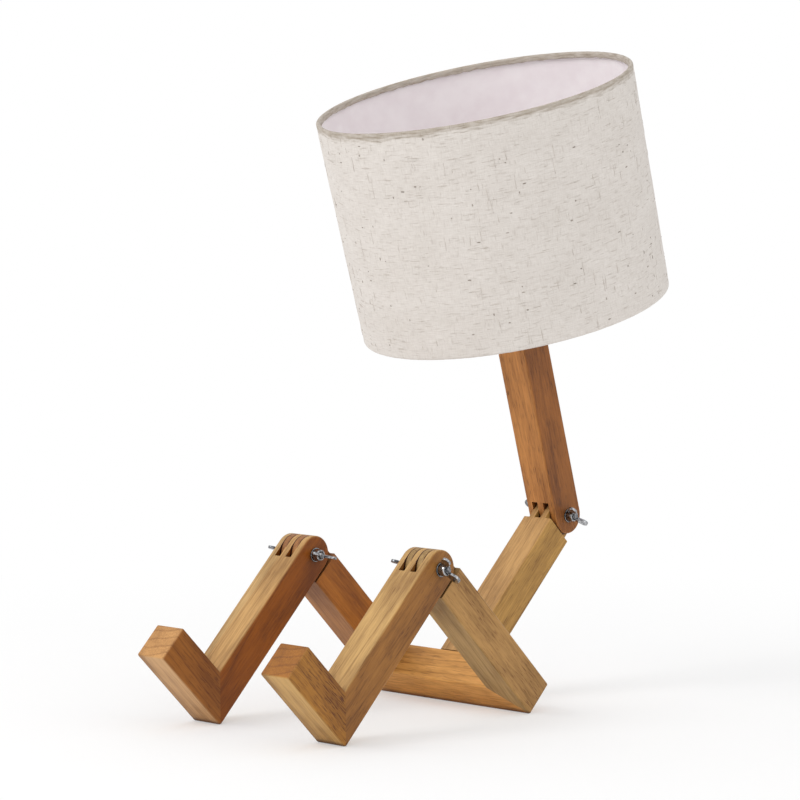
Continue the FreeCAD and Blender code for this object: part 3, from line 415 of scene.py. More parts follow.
# The third colour of each finish is the painted shade in its corners.
# Zinc plate over die-cast metal: bright, a little wavy, with black painted shade in its corners.
ZINC = small_finish("bright_zinc_plate", "#C3C4C6", "#6E7074", "#120F0C", (0.12, 0.28), 1.5 * MM, 0.25,
                    reach=5.0 * MM, Metallic=1.0)
# The bolts have the nuts' zinc plate, painted darker and greyer as shade, in patches.
SHADED_ZINC = small_finish("shaded_zinc_plate", "#9A9B9E", "#4C4D50", "#120F0C", (0.18, 0.34), 1.5 * MM, 0.25,
                         reach=5.0 * MM, Metallic=1.0)
# Pressed brass: warm yellow, with brown in the thread.
BRASS = small_finish("pressed_brass", "#D9B568", "#B58E46", "#4A3414", (0.25, 0.4), 2 * MM, 0.3,
                     Metallic=1.0)
# Rolled aluminium: pale grey and soft in gloss.
ALUMINIUM = small_finish("rolled_aluminium", "#C9CBCD", "#B2B4B6", "#55565A", (0.3, 0.45), 2 * MM, 0.3,
                         Metallic=1.0)
# Glazed porcelain: ivory white under a hard gloss.
PORCELAIN = small_finish("glazed_porcelain", "#E8E4DA", "#DDD8CC", "#9C9486", (0.12, 0.22), 4 * MM, 0.15)
# Moulded thermoset plastic: off-white with a fine sandy skin.
WHITE_PLASTIC = small_finish("moulded_white_plastic", "#DCDAD4", "#D2D0C9", "#8E8B84", (0.35, 0.5),
                             0.7 * MM, 0.25)
# Moulded black plastic: near black, satin.
BLACK_PLASTIC = small_finish("moulded_black_plastic", "#222120", "#2C2B2A", "#0C0B0B", (0.4, 0.55),
                             0.7 * MM, 0.3)
# Powder coat on steel wire: white, with the faint orange peel of baked powder.
POWDER_COAT = small_finish("white_powder_coat", "#E2E1DE", "#D8D7D3", "#97958F", (0.35, 0.5), 1.1 * MM, 0.4)
# Opal glass: milk white all through, with a hard clear skin.
OPAL_GLASS = small_finish("opal_glass", "#F1EEE6", "#EDEAE1", "#D5D0C4", (0.12, 0.2), 9 * MM, 0.05,
                          Coat_Weight=0.4, Coat_Roughness=0.05)
paint(ZINC, "holder_nipple", "holder_locknut")
paint(BRASS, "holder_contact")
paint(ALUMINIUM, "bulb_tip")
paint(PORCELAIN, "holder_block")
paint(POWDER_COAT, "shade_frame", "shade_top_wire")
print("9 finishes")

# %% [markdown]
# Most small pieces are turned forms. A profile is written as corners with a rounding each,
# the corners become short arcs, and the profile is turned about the Z axis. A screw thread
# is pressed into a turned wall by moving its points, which keeps the mesh closed.

# %% Helpers for turned pieces
ROUND_STEPS = 4


def round_corners(corners):
    """A closed profile from (radius, height, rounding) corners, in millimetres."""
    points = []
    total = len(corners)
    for index, (u, v, rounding) in enumerate(corners):
        here = Vector((u, v))
        if rounding == 0:
            points.append(here * MM)
            continue
        back = Vector(corners[index - 1][:2]) - here
        ahead = Vector(corners[(index + 1) % total][:2]) - here
        start = here + back.normalized() * min(rounding, back.length / 2)
        finish = here + ahead.normalized() * min(rounding, ahead.length / 2)
        for step in range(ROUND_STEPS + 1):
            t = step / ROUND_STEPS
            points.append((start * (1 - t) ** 2 + here * (2 * t * (1 - t)) + finish * t ** 2) * MM)
    return points


def wall(radius, low, high, step):
    """Corners along a straight turned wall, close enough together for a thread."""
    count = round(abs(high - low) / step)
    return [(radius, low + (high - low) * i / count, 0) for i in range(count + 1)]


def arc(centre, radius, start, finish, count):
    """Corners along an arc about a point on the axis, with its angles in degrees."""
    angles = [math.radians(start + (finish - start) * i / count) for i in range(count + 1)]
    return [(max(0.0, radius * math.cos(a)), centre + radius * math.sin(a), 0) for a in angles]


def turned(profile, around=96):
    """Turns a closed profile about the Z axis."""
    shape = bmesh.new()
    turns = [(math.cos(math.tau * i / around), math.sin(math.tau * i / around)) for i in range(around)]
    rings = []
    for radius, height in profile:
        if radius < 1e-7:
            rings.append([shape.verts.new((0, 0, height))])
        else:
            rings.append([shape.verts.new((radius * c, radius * s, height)) for c, s in turns])
    for index, low in enumerate(rings):
        high = rings[(index + 1) % len(rings)]
        if len(low) == 1 and len(high) == 1:
            continue
        for i in range(around):
            j = (i + 1) % around
            corners = [low[i % len(low)], low[j % len(low)], high[j % len(high)], high[i % len(high)]]
            shape.faces.new(list(dict.fromkeys(corners)))
    return shape


def press_thread(shape, radius, reach, low, high, pitch, depth):
    """Presses a round thread into the wall that stands within reach of a radius. In mm."""
    for vert in shape.verts:
        here = math.hypot(vert.co.x, vert.co.y)
        if abs(here - radius * MM) > reach * MM or not low * MM < vert.co.z < high * MM:
            continue
        fade = min(1.0, (vert.co.z / MM - low) / pitch, (high - vert.co.z / MM) / pitch)
        turn = vert.co.z / MM / pitch - math.atan2(vert.co.y, vert.co.x) / math.tau
        share = 1 - depth * MM * fade * (0.5 - 0.5 * math.cos(math.tau * turn)) / here
        vert.co.x *= share
        vert.co.y *= share


def smooth_faces(mesh):
    mesh.polygons.foreach_set("use_smooth", [True] * len(mesh.polygons))


def to_mesh(shape, place, sharp=35):
    """Puts a shape in its place, with its faces outwards and only real edges sharp."""
    bmesh.ops.transform(shape, matrix=place, verts=shape.verts)
    bmesh.ops.recalc_face_normals(shape, faces=shape.faces)
    mesh = bpy.data.meshes.new("piece")
    shape.to_mesh(mesh)
    shape.free()
    smooth_faces(mesh)
    mesh.set_sharp_from_angle(angle=math.radians(sharp))
    return mesh


def new_piece(name, mesh, material, body, slot, *nodes):
    """Links a finished mesh, hangs it on its body and hides the pieces that it stands for."""
    mesh.name = name
    mesh.materials.clear()
    mesh.materials.append(material)
    piece = bpy.data.objects.new(name, mesh)
    bpy.context.scene.collection.objects.link(piece)
    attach(piece, body)
    if nodes:
        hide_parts(*nodes)
    print(name, len(mesh.polygons), "faces")
    return piece


def evaluated_mesh(piece):
    """The plain mesh that a piece's modifiers make. The piece itself is then removed."""
    shown = piece.evaluated_get(bpy.context.evaluated_depsgraph_get())
    mesh = bpy.data.meshes.new_from_object(shown)
    bpy.data.objects.remove(piece)
    return mesh


# %% [markdown]
# Each hinge is clamped by a wing bolt and a wing nut. Real ones are die cast: a squat cone
# with two ears that flow into it. The cone is turned and the ears are cut from a plate, and
# a voxel remesh melts them into one skin, as the casting does. A few rounds of smoothing
# then give the soft inner corners, which no bevel of the separate shapes could.

# %% Cast wing metal
HUB_FOOT = 4.0
HUB_TOP = 3.5
HUB_HEIGHT = 4.6
BOLT_RADIUS = 2.0
WING_THICK = 1.7
CAST_GRAIN = 0.2 * MM
LOBE_RADIUS = 3.0
LOBE_PLACE = (7.0, 7.5)
LOBE_ENDS = (-47, 150)
EAR_ROOT = 1.4
EAR_FOOT = 0.8
EAR_TOP = 4.0
NUT_PLAY = 0.15


def wing_plate(shape, turn):
    """One ear: a plate in the XZ plane with a round lobe."""
    leave, back = [math.radians(end) for end in LOBE_ENDS]
    outline = [(EAR_ROOT, EAR_FOOT), (HUB_TOP, EAR_FOOT)]
    for i in range(13):
        a = leave + (back - leave) * i / 12
        outline.append((LOBE_PLACE[0] + LOBE_RADIUS * math.cos(a),
                        LOBE_PLACE[1] + LOBE_RADIUS * math.sin(a)))
    outline.append((EAR_ROOT, EAR_TOP))
    way = Matrix.Rotation(turn, 3, "Z")
    sides = [[shape.verts.new(way @ Vector((u, y, v)) * MM) for u, v in outline]
             for y in (-WING_THICK / 2, WING_THICK / 2)]
    shape.faces.new(sides[0])
    shape.faces.new(list(reversed(sides[1])))
    for i in range(len(outline)):
        j = (i + 1) % len(outline)
        shape.faces.new([sides[0][j], sides[0][i], sides[1][i], sides[1][j]])


def cast(bore):
    """A hub with two ears, melted into one skin."""
    inner = [(bore, HUB_HEIGHT, 0.3), (bore, 0, 0.2)] if bore else [(0, HUB_HEIGHT, 0), (0, 0, 0)]
    shape = turned(round_corners([*inner, (HUB_FOOT, 0, 0.3), (HUB_TOP, HUB_HEIGHT, 0.7)]), 48)
    wing_plate(shape, 0)
    wing_plate(shape, math.pi)
    rough = bpy.data.objects.new("casting", to_mesh(shape, Matrix.Identity(4)))
    bpy.context.scene.collection.objects.link(rough)
    melt = rough.modifiers.new("melt", "REMESH")
    melt.mode = "VOXEL"
    melt.voxel_size = CAST_GRAIN
    soften = rough.modifiers.new("soften", "SMOOTH")
    soften.factor = 0.5
    soften.iterations = 5
    thin = rough.modifiers.new("thin", "DECIMATE")
    thin.ratio = 0.4
    return evaluated_mesh(rough)


nut_metal = cast(BOLT_RADIUS + NUT_PLAY)
head_metal = cast(0)
print("cast nut", len(nut_metal.polygons), "faces, head", len(head_metal.polygons))

# %% [markdown]
# The bolt's shank runs through the bar and ends just past the nut, where its thread shows.
# It is a turned rod with the thread pressed in, and it joins the cast head in one mesh.

# %% Bolts, nuts and washers
BAR_HALF = 12.0
WASHER_THICK = 0.8
BOLT_END = 1.6
SHANK = WASHER_THICK + BAR_HALF * 2 + WASHER_THICK + HUB_HEIGHT + BOLT_END
BOLT_PITCH = 0.7
BOLT_THREAD = 9
WASHER_BORE = 2.1
WASHER_RADIUS = 4.5
HEAD_DOWN = Matrix.Rotation(math.pi, 4, "X")


def axle(joint, offset, angle=0.0):
    """On a hinge's axis, offset towards +X, with the first ear at an angle."""
    turn = Matrix.Rotation(math.radians(90), 4, "Y") @ Matrix.Rotation(math.radians(angle + 90), 4, "Z")
    return Matrix.Translation(joint_at[joint] + Vector((offset * MM, 0, 0))) @ turn


def make_bolt_shape():
    shape = bmesh.new()
    shape.from_mesh(head_metal)
    bmesh.ops.transform(shape, matrix=HEAD_DOWN, verts=shape.verts)
    rod = turned(round_corners([(0, -2, 0), *wall(BOLT_RADIUS, -2, SHANK - 0.4, 0.12), (1.5, SHANK, 0.2),
                                (0, SHANK, 0)]), 32)
    press_thread(rod, BOLT_RADIUS, 0.05, SHANK - BOLT_THREAD, SHANK + 2, BOLT_PITCH, 0.34)
    shape.from_mesh(to_mesh(rod, Matrix.Identity(4)))
    return shape


def make_washer_shape():
    ring = [(WASHER_BORE, 0, 0.15), (WASHER_RADIUS, 0, 0.25), (WASHER_RADIUS, WASHER_THICK, 0.25),
            (WASHER_BORE, WASHER_THICK, 0.15)]
    return turned(round_corners(ring), 48)


for joint, clamp, body, nut_angle, bolt_angle in (
        ("left_knee", "knee_left", "left_lower_leg", -53.0, 158.0),
        ("right_knee", "knee_right", "right_lower_leg", -15.0, 160.0),
        ("waist", "waist", "head", -38.0, 118.0)):
    face = BAR_HALF + WASHER_THICK
    nut = bmesh.new()
    nut.from_mesh(nut_metal)
    outer, inner = axle(joint, face, nut_angle), axle(joint, -face, bolt_angle)
    for name, shape, place, sharp, metal, rides, node in (
            ("cast_wing_nut", nut, outer, 50, ZINC, f"{clamp}_nut", "wing_nut"),
            ("cast_wing_bolt", make_bolt_shape(), inner, 50, SHADED_ZINC, body, "wing_bolt"),
            ("inner_washer", make_washer_shape(), axle(joint, -face), 35, ZINC, body, "bolt_washer"),
            ("outer_washer", make_washer_shape(), axle(joint, BAR_HALF), 35, ZINC, body, "nut_washer")):
        new_piece(f"{clamp}_{name}", to_mesh(shape, place, sharp), metal, rides, "zinc_steel",
                  f"{clamp}_{node}")

# %% [markdown]
# The shade is one strip of linen round two wire rings, rolled over each ring and glued
# inside. The cloth's middle line is written once, from the lower hem, up the wall, to the
# upper hem, and the mesh has a face on each side of that line. The wall widens by 2 mm to
# the top. Noise that runs round the drum moves the cloth by a fraction of a millimetre and
# makes the hem's edge uneven, because a perfect drum looks like plastic.

# %% Measures of the shade
UPPER_TORSO = 141.0
LEAN = math.atan2(INLET_WAY.z, INLET_WAY.y)
SHADE_FRAME = Matrix.Translation(WAIST + HEAD_WAY * UPPER_TORSO * MM) @ Matrix.Rotation(LEAN, 4, "X")
RIM = 101.0
TOP_RIM = 103.2
TALL = 148.0
CLOTH = 0.4
ROLL = 1.55
AROUND = 320
WALL_ROWS = 54
ROLL_STEPS = 10
LOW_HEM = (3.4, 2.8, 2.2)
TOP_HEM = (2.4, 3.1, 3.8)


def cloth_line():
    """The cloth's middle line: (radius, height, radial way, height way, length so far)."""
    middle = ROLL - CLOTH / 2
    line = [(RIM - ROLL - middle, height, -1, 0) for height in LOW_HEM]
    for i in range(ROLL_STEPS + 1):
        a = math.pi * (1 + i / ROLL_STEPS)
        line.append((RIM - ROLL + middle * math.cos(a), ROLL + middle * math.sin(a), math.cos(a),
                     math.sin(a)))
    for i in range(1, WALL_ROWS):
        t = i / WALL_ROWS
        line.append((RIM + (TOP_RIM - RIM) * t - CLOTH / 2, ROLL + (TALL - ROLL * 2) * t, 1, 0))
    for i in range(ROLL_STEPS + 1):
        a = math.pi * i / ROLL_STEPS
        line.append((TOP_RIM - ROLL + middle * math.cos(a), TALL - ROLL + middle * math.sin(a), math.cos(a),
                     math.sin(a)))
    line += [(TOP_RIM - ROLL - middle, TALL - drop, -1, 0) for drop in TOP_HEM]
    lengths = [0.0]
    for before, after in zip(line, line[1:]):
        lengths.append(lengths[-1] + math.dist(before[:2], after[:2]))
    return [(*point, length) for point, length in zip(line, lengths)]


LINE = cloth_line()
CLOTH_LENGTH = LINE[-1][4]
CLOTH_WIDTH = math.pi * (RIM + TOP_RIM)
print("cloth", round(CLOTH_WIDTH), "by", round(CLOTH_LENGTH), "mm")

# %% Cloth of the shade
CREASE_DROP = 3.6
TOP_CREASE = 0.3
LOW_CREASE = 0.18
WALL_WAVE = 0.16
WALL_PUCKER = 0.05
ROLL_PUCKER = 0.1
INNER_HEM = 3.0
HEM_WANDER = 0.7


def uneven(angle, row, scale, seed):
    """Noise that meets itself after one turn round the drum."""
    return noise.noise(Vector((math.cos(angle) * scale, math.sin(angle) * scale, row + seed)))


def cloth_point(angle, point, side):
    """A point on one face of the cloth, with the small faults of real cloth."""
    radius, height, out, up, length = point
    lift = side * CLOTH / 2
    if out == 1:
        pucker = WALL_PUCKER * uneven(angle, height / 4, 40, 8)
        lift += WALL_WAVE * uneven(angle, height / 18, 9, 3) + pucker
        below = TALL - height
        lift -= TOP_CREASE * math.exp(-((below - CREASE_DROP - 0.5 * uneven(angle, 0, 30, 5)) / 0.9) ** 2)
        lift -= LOW_CREASE * math.exp(-(height - CREASE_DROP) ** 2)
    if out == -1 and height > INNER_HEM:
        height += HEM_WANDER * uneven(angle, 0, 22, 11)
    lift += ROLL_PUCKER * uneven(angle, length / 3, 60, 1) if abs(out) < 1 else 0
    radius += lift * out
    return radius * math.cos(angle), radius * math.sin(angle), height + lift * up


def make_cloth():
    """Both faces of the cloth and its two cut edges, with the cloth's own UV in metres."""
    turns = [math.pi / 2 + math.tau * i / AROUND for i in range(AROUND)]
    path = [(point, 1) for point in LINE] + [(point, -1) for point in reversed(LINE)]
    points = [Vector(cloth_point(a, point, side)) * MM for point, side in path for a in turns]
    faces, uvs = [], []
    total = len(path)
    for row in range(total):
        after = (row + 1) % total
        v = (path[row][0][4] * MM, path[after][0][4] * MM)
        for i in range(AROUND):
            j = (i + 1) % AROUND
            faces.append((row * AROUND + i, row * AROUND + j, after * AROUND + j, after * AROUND + i))
            u = (CLOTH_WIDTH * MM * i / AROUND, CLOTH_WIDTH * MM * (i + 1) / AROUND)
            uvs += [u[0], v[0], u[1], v[0], u[1], v[1], u[0], v[1]]
    mesh = bpy.data.meshes.new("cloth")
    mesh.from_pydata(points, [], faces)
    mesh.uv_layers.new(name="cloth").data.foreach_set("uv", uvs)
    mesh.transform(SHADE_FRAME)
    smooth_faces(mesh)
    return mesh


# %% [markdown]
# Slubby linen is a plain weave of uneven yarn. Three things show from a step away: a fine
# cross of threads, long faint slubs that run both ways, and a few dark neps. The weave and
# the faint slubs are in the material, in the cloth's own UV, so they turn the corner at the
# hems with it. Real thread is 0.4 mm apart, which the picture can't show, so it is 0.9 mm.

# %% Linen
THREAD = 0.9 * MM
HEM_BAND = 3.4 * MM
HEM_TOP = (CLOTH_LENGTH - 1.2) * MM
HEM_RAGGED = 6 * MM
SLUB_SHOWS = (0.58, 0.76)
LINEN_RANGE = (0.75, 2.0)


def linen(name, light, dark):
    """Natural linen, laminated flat: matt, with threads both ways."""
    material, tree, shader = new_material(name, {"Roughness": 0.92, "Specular IOR Level": 0.15,
                                                 "Sheen Weight": 0.12, "Sheen Roughness": 0.5})
    cloth = add_node(tree, "UVMap", uv_map="cloth")

    def strokes(across, up, detail):
        """Noise with its spots stretched to strokes of a size."""
        scaled = add_node(tree, "VectorMath", {0: cloth, 1: (1 / across, 1 / up, 1)}, operation="MULTIPLY")
        return add_node(tree, "TexNoise", {"Vector": scaled, "Scale": 1.0, "Detail": detail})

    weft = strokes(7 * MM, THREAD / 2, 1.0)
    warp = strokes(THREAD / 2, 5 * MM, 1.0)
    long_slub = strokes(8 * MM, 1.3 * MM, 3.0)
    tall_slub = strokes(1.5 * MM, 7 * MM, 3.0)
    cloud = strokes(30 * MM, 18 * MM, 2.0)
    weave = add_node(tree, "Math", {0: warp, 1: 0.7, 2: weft}, operation="MULTIPLY_ADD")
    raised = [add_node(tree, "MapRange", {0: slub, 1: SLUB_SHOWS[0], 2: SLUB_SHOWS[1], 4: proud})
              for slub, proud in ((long_slub, 1.0), (tall_slub, 0.7))]
    slubs = add_node(tree, "Math", {0: raised[0], 1: raised[1]}, operation="MAXIMUM")
    tone = add_node(tree, "Math", {0: cloud, 1: 0.45, 2: weave}, operation="MULTIPLY_ADD")
    slubbed = add_node(tree, "Math", {0: slubs, 1: 0.75, 2: tone}, operation="MULTIPLY_ADD")
    share = add_node(tree, "MapRange", {0: slubbed, 1: LINEN_RANGE[0], 2: LINEN_RANGE[1]})
    colour = add_node(tree, "Mix", {0: share, 6: hex_colour(light), 7: hex_colour(dark)}, data_type="RGBA")
    # A ragged band at the top hem is darker: glue, and painted shade of the rolled cloth.
    split = add_node(tree, "SeparateXYZ", {0: cloth})
    edge = add_node(tree, "Math", {0: long_slub, 1: cloud}, operation="ADD")
    ragged = add_node(tree, "Math", {0: edge, 1: HEM_RAGGED, 2: split.outputs[1]}, operation="MULTIPLY_ADD")
    band = add_node(tree, "MapRange", {0: ragged, 1: HEM_TOP - HEM_BAND, 2: HEM_TOP, 4: 0.9})
    patchy = add_node(tree, "MapRange", {0: long_slub, 1: 0.3, 2: 0.6, 3: 0.55, 4: 1.0})
    hem_glue_and_shade = add_node(tree, "Math", {0: band, 1: patchy}, operation="MULTIPLY")
    final = add_node(tree, "Mix", {0: hem_glue_and_shade, 6: colour.outputs[2], 7: hex_colour("#C4BCB0")},
                     data_type="RGBA", blend_type="MULTIPLY")
    tree.links.new(final.outputs[2], shader.inputs["Base Color"])
    lifted = add_node(tree, "Math", {0: slubs, 1: 1.2, 2: weave}, operation="MULTIPLY_ADD")
    bump = add_node(tree, "Bump", {"Strength": 0.5, "Distance": 0.25 * MM, "Height": lifted})
    tree.links.new(bump.outputs[0], shader.inputs["Normal"])
    return material


LINEN = linen("natural_slub_linen", "#E2DCD6", "#BDB4AB")
cloth_piece = new_piece("shade_cloth", make_cloth(), LINEN, "head", "linen", "shade_cover")

# %% [markdown]
# The thickest slubs and the neps stand proud of the cloth, so they are real geometry. Each
# is a spindle with a few dozen faces. Geometry Nodes scatter them on a flat strip, turn
# each along a thread, and then wrap the strip round the drum by plain arithmetic.

# %% Tree for the slubs
SLUBS = {"Count": 700.0, "Shortest": 2.5 * MM, "Longest": 12 * MM, "Thinnest": 0.35 * MM,
         "Thickest": 0.6 * MM, "Proud": 0.16 * MM, "Width": CLOTH_WIDTH * MM, "Height": (TALL - 9) * MM,
         "Low Radius": RIM * MM, "Top Radius": TOP_RIM * MM, "Foot": 4.5 * MM, "Along Weft": 0.6}
NEPS = {**SLUBS, "Count": 190.0, "Shortest": 0.9 * MM, "Longest": 3.2 * MM, "Thinnest": 0.7 * MM,
        "Thickest": 1.2 * MM, "Proud": 0.18 * MM}
SWERVE = 0.07


def new_tree(name, kinds):
    """A tree that takes inputs of these kinds and gives one mesh."""
    tree = bpy.data.node_groups.new(name, "GeometryNodeTree")
    tree.interface.new_socket("Geometry", in_out="OUTPUT", socket_type="NodeSocketGeometry")
    for key, kind in kinds.items():
        tree.interface.new_socket(key, in_out="INPUT", socket_type=f"NodeSocket{kind}")
    return tree, add_node(tree, "NodeGroupInput").outputs


def slub_tree():
    """Spindles scattered on a strip that is wrapped round the drum."""
    tree, given = new_tree("linen_slubs", {**dict.fromkeys(SLUBS, "Float"), "Seed": "Int",
                                           "Material": "Material"})
    area = add_node(tree, "Math", {0: given["Width"], 1: given["Height"]}, operation="MULTIPLY")
    density = add_node(tree, "Math", {0: given["Count"], 1: area}, operation="DIVIDE")
    strip = add_node(tree, "GeometryNodeMeshGrid",
                     {"Size X": given["Width"], "Size Y": given["Height"], "Vertices X": 2,
                      "Vertices Y": 2})
    spots = add_node(tree, "GeometryNodeDistributePointsOnFaces",
                     {"Mesh": strip, "Density": density, "Seed": given["Seed"]})
    length = add_node(tree, "FunctionNodeRandomValue",
                      {2: given["Shortest"], 3: given["Longest"], 8: given["Seed"]})
    girth = add_node(tree, "FunctionNodeRandomValue", {2: given["Thinnest"], 3: given["Thickest"], 8: 7})
    swerve = add_node(tree, "FunctionNodeRandomValue", {2: -SWERVE, 3: SWERVE, 8: 11})
    draw = add_node(tree, "FunctionNodeRandomValue", {2: 0.0, 3: 1.0, 8: 13})
    upright = add_node(tree, "Math", {0: draw.outputs[1], 1: given["Along Weft"]}, operation="GREATER_THAN")
    heading = add_node(tree, "Math", {0: upright, 1: math.pi / 2, 2: swerve.outputs[1]},
                       operation="MULTIPLY_ADD")
    turn = add_node(tree, "CombineXYZ", {2: heading})
    half = add_node(tree, "Math", {0: length.outputs[1], 1: 0.5}, operation="MULTIPLY")
    thin = add_node(tree, "Math", {0: girth.outputs[1], 1: 0.5}, operation="MULTIPLY")
    size = add_node(tree, "CombineXYZ", {0: half, 1: thin, 2: given["Proud"]})
    spindle = add_node(tree, "GeometryNodeMeshUVSphere", {"Segments": 5, "Rings": 6, "Radius": 1.0})
    scattered = add_node(tree, "GeometryNodeInstanceOnPoints",
                         {"Points": spots, "Instance": spindle, "Rotation": turn, "Scale": size})
    real = add_node(tree, "GeometryNodeRealizeInstances", {"Geometry": scattered})
    place = add_node(tree, "GeometryNodeInputPosition")
    split = add_node(tree, "SeparateXYZ", {0: place})
    share = add_node(tree, "Math", {0: split.outputs[0], 1: given["Width"]}, operation="DIVIDE")
    angle = add_node(tree, "Math", {0: share, 1: math.tau}, operation="MULTIPLY")
    middle = add_node(tree, "Math", {0: given["Height"], 1: 0.5, 2: split.outputs[1]},
                      operation="MULTIPLY_ADD")
    rise = add_node(tree, "Math", {0: middle, 1: given["Foot"]}, operation="ADD")
    widening = add_node(tree, "MapRange", {0: rise, 1: ROLL * MM, 2: (TALL - ROLL) * MM,
                                           3: given["Low Radius"], 4: given["Top Radius"]})
    radius = add_node(tree, "Math", {0: widening, 1: split.outputs[2]}, operation="ADD")
    flat = []
    for way in ("COSINE", "SINE"):
        part = add_node(tree, "Math", {0: angle}, operation=way)
        flat.append(add_node(tree, "Math", {0: radius, 1: part}, operation="MULTIPLY"))
    wrapped = add_node(tree, "CombineXYZ", {0: flat[0], 1: flat[1], 2: rise})
    bent = add_node(tree, "GeometryNodeSetPosition", {"Geometry": real, "Position": wrapped})
    smooth = add_node(tree, "GeometryNodeSetShadeSmooth", {0: bent})
    dressed = add_node(tree, "GeometryNodeSetMaterial", {"Geometry": smooth, "Material": given["Material"]})
    add_node(tree, "NodeGroupOutput", {0: dressed})
    return tree


def grow(tree, name, values):
    """Runs a tree on an empty mesh with named values, and returns the plain mesh."""
    piece = bpy.data.objects.new(name, bpy.data.meshes.new(name))
    modifier = piece.modifiers.new(name, "NODES")
    modifier.node_group = tree
    for item in tree.interface.items_tree:
        if item.in_out == "INPUT" and item.name in values:
            modifier[item.identifier] = values[item.name]
    bpy.context.scene.collection.objects.link(piece)
    return evaluated_mesh(piece)


# %% [markdown]
# A slub is the same yarn as the cloth, a little lighter or darker. A nep is a knot of
# darker flax. Both take their tone from where they are, so no two neighbours match.

# %% Slubs and neps
# Their third colours are painted shade in corners.
SLUB_YARN = small_finish("linen_slub_yarn", "#DDD6CF", "#B8AFA5", "#A9A096", (0.85, 0.95), 6 * MM, 0.2,
                         Specular_IOR_Level=0.15)
NEP_FLAX = small_finish("linen_nep_flax", "#A89F95", "#8C8379", "#7A7269", (0.85, 0.95), 6 * MM, 0.2,
                        Specular_IOR_Level=0.15)
slubs = slub_tree()
slub_mesh = grow(slubs, "slubs", {**SLUBS, "Seed": 5, "Material": SLUB_YARN})
nep_mesh = grow(slubs, "neps", {**NEPS, "Seed": 9, "Material": NEP_FLAX})
for mesh in (slub_mesh, nep_mesh):
    mesh.transform(SHADE_FRAME)
slub_piece = new_piece("shade_slubs", slub_mesh, SLUB_YARN, "head", "linen")
nep_piece = new_piece("shade_neps", nep_mesh, NEP_FLAX, "head", "linen")

# %% [markdown]
# Behind the robot the strip's two ends overlap by 8 mm, with the outer end turned under and
# glued. It shows as a flat band one cloth thick, so it is a strip of its own on the wall.

# %% Seam
SEAM_WIDTH = 8.0
SEAM_THICK = 0.35
SEAM_SUNK = 0.05
SEAM_ENDS = 2.0
SEAM_ROWS = 40


def make_seam():
    """A curved band that lies on the wall from hem to hem."""
    shape = bmesh.new()
    spans = [(-1, 0), (-1, 0.6), (-0.9, 1), (-0.5, 1), (0, 1), (0.5, 1), (0.9, 1), (1, 0.6), (1, 0)]
    grid = []
    for row in range(SEAM_ROWS + 1):
        height = SEAM_ENDS + (TALL - SEAM_ENDS * 2) * row / SEAM_ROWS
        radius = RIM + (TOP_RIM - RIM) * height / TALL
        ring = []
        for across, thick in spans:
            angle = math.pi / 2 + across * SEAM_WIDTH / 2 / radius + 0.002 * uneven(row / 5, 0, 1, 2)
            out = radius - SEAM_SUNK + SEAM_THICK * thick
            ring.append(shape.verts.new(Vector((out * math.cos(angle), out * math.sin(angle),
                                                height)) * MM))
        grid.append(ring)
    for below, above in zip(grid, grid[1:]):
        for i in range(len(spans)):
            j = (i + 1) % len(spans)
            shape.faces.new([below[i], below[j], above[j], above[i]])
    shape.faces.new(grid[0])
    shape.faces.new(list(reversed(grid[-1])))
    cloth = shape.loops.layers.uv.new("cloth")
    for face in shape.faces:
        for loop in face.loops:
            local = loop.vert.co
            loop[cloth].uv = (math.atan2(local.y, local.x) * RIM * MM, local.z)
    return to_mesh(shape, SHADE_FRAME)


seam_piece = new_piece("shade_seam", make_seam(), LINEN, "head", "linen")

# %% [markdown]
# The lining is a thin sheet of white plastic that the linen is glued to. It ends between
# the two rolled hems. Heat and glue leave it very slightly wavy, which the light inside
# shows, so its wall has a soft ripple.

# %% Lining
LINING = 0.3
LINING_GAP = 0.15
LINING_ROWS = 30
LINING_WAVE = 0.0012
LINING_INSET = 0.0008


def make_lining():
    low = ROLL * 2 + LINING_GAP
    high = TALL - low
    rows = [low + (high - low) * i / LINING_ROWS for i in range(LINING_ROWS + 1)]
    inset = CLOTH + LINING_GAP
    slope = (TOP_RIM - RIM) / (TALL - ROLL * 2)
    outside = [(RIM + slope * (z - ROLL) - inset, z, 0) for z in rows]
    inside = [(radius - LINING, z, 0) for radius, z, _ in reversed(outside)]
    shape = turned(round_corners(outside + inside), 240)
    for vert in shape.verts:
        angle = math.atan2(vert.co.y, vert.co.x)
        share = 1 + LINING_WAVE * uneven(angle, vert.co.z / MM / 30, 6, 21) - LINING_INSET
        vert.co.x *= share
        vert.co.y *= share
    return to_mesh(shape, SHADE_FRAME)


# Its third colour is painted shade in corners.
# Rolled styrene sheet: pinkish white, matt with a faint sheen.
STYRENE = small_finish("rolled_styrene_lining", "#F3EDEF", "#EDE5E8", "#D8CED2", (0.5, 0.62), 14 * MM, 0.1)
new_piece("shade_lining_sheet", make_lining(), STYRENE, "head", "shade_lining", "shade_lining")

# %% [markdown]
# The lamp holder is seen from above and below. It is the common moulded kind in two
# halves: a cap with a round shoulder and a threaded sleeve, with a ring nut that clamps the
# shade's frame on the flange.

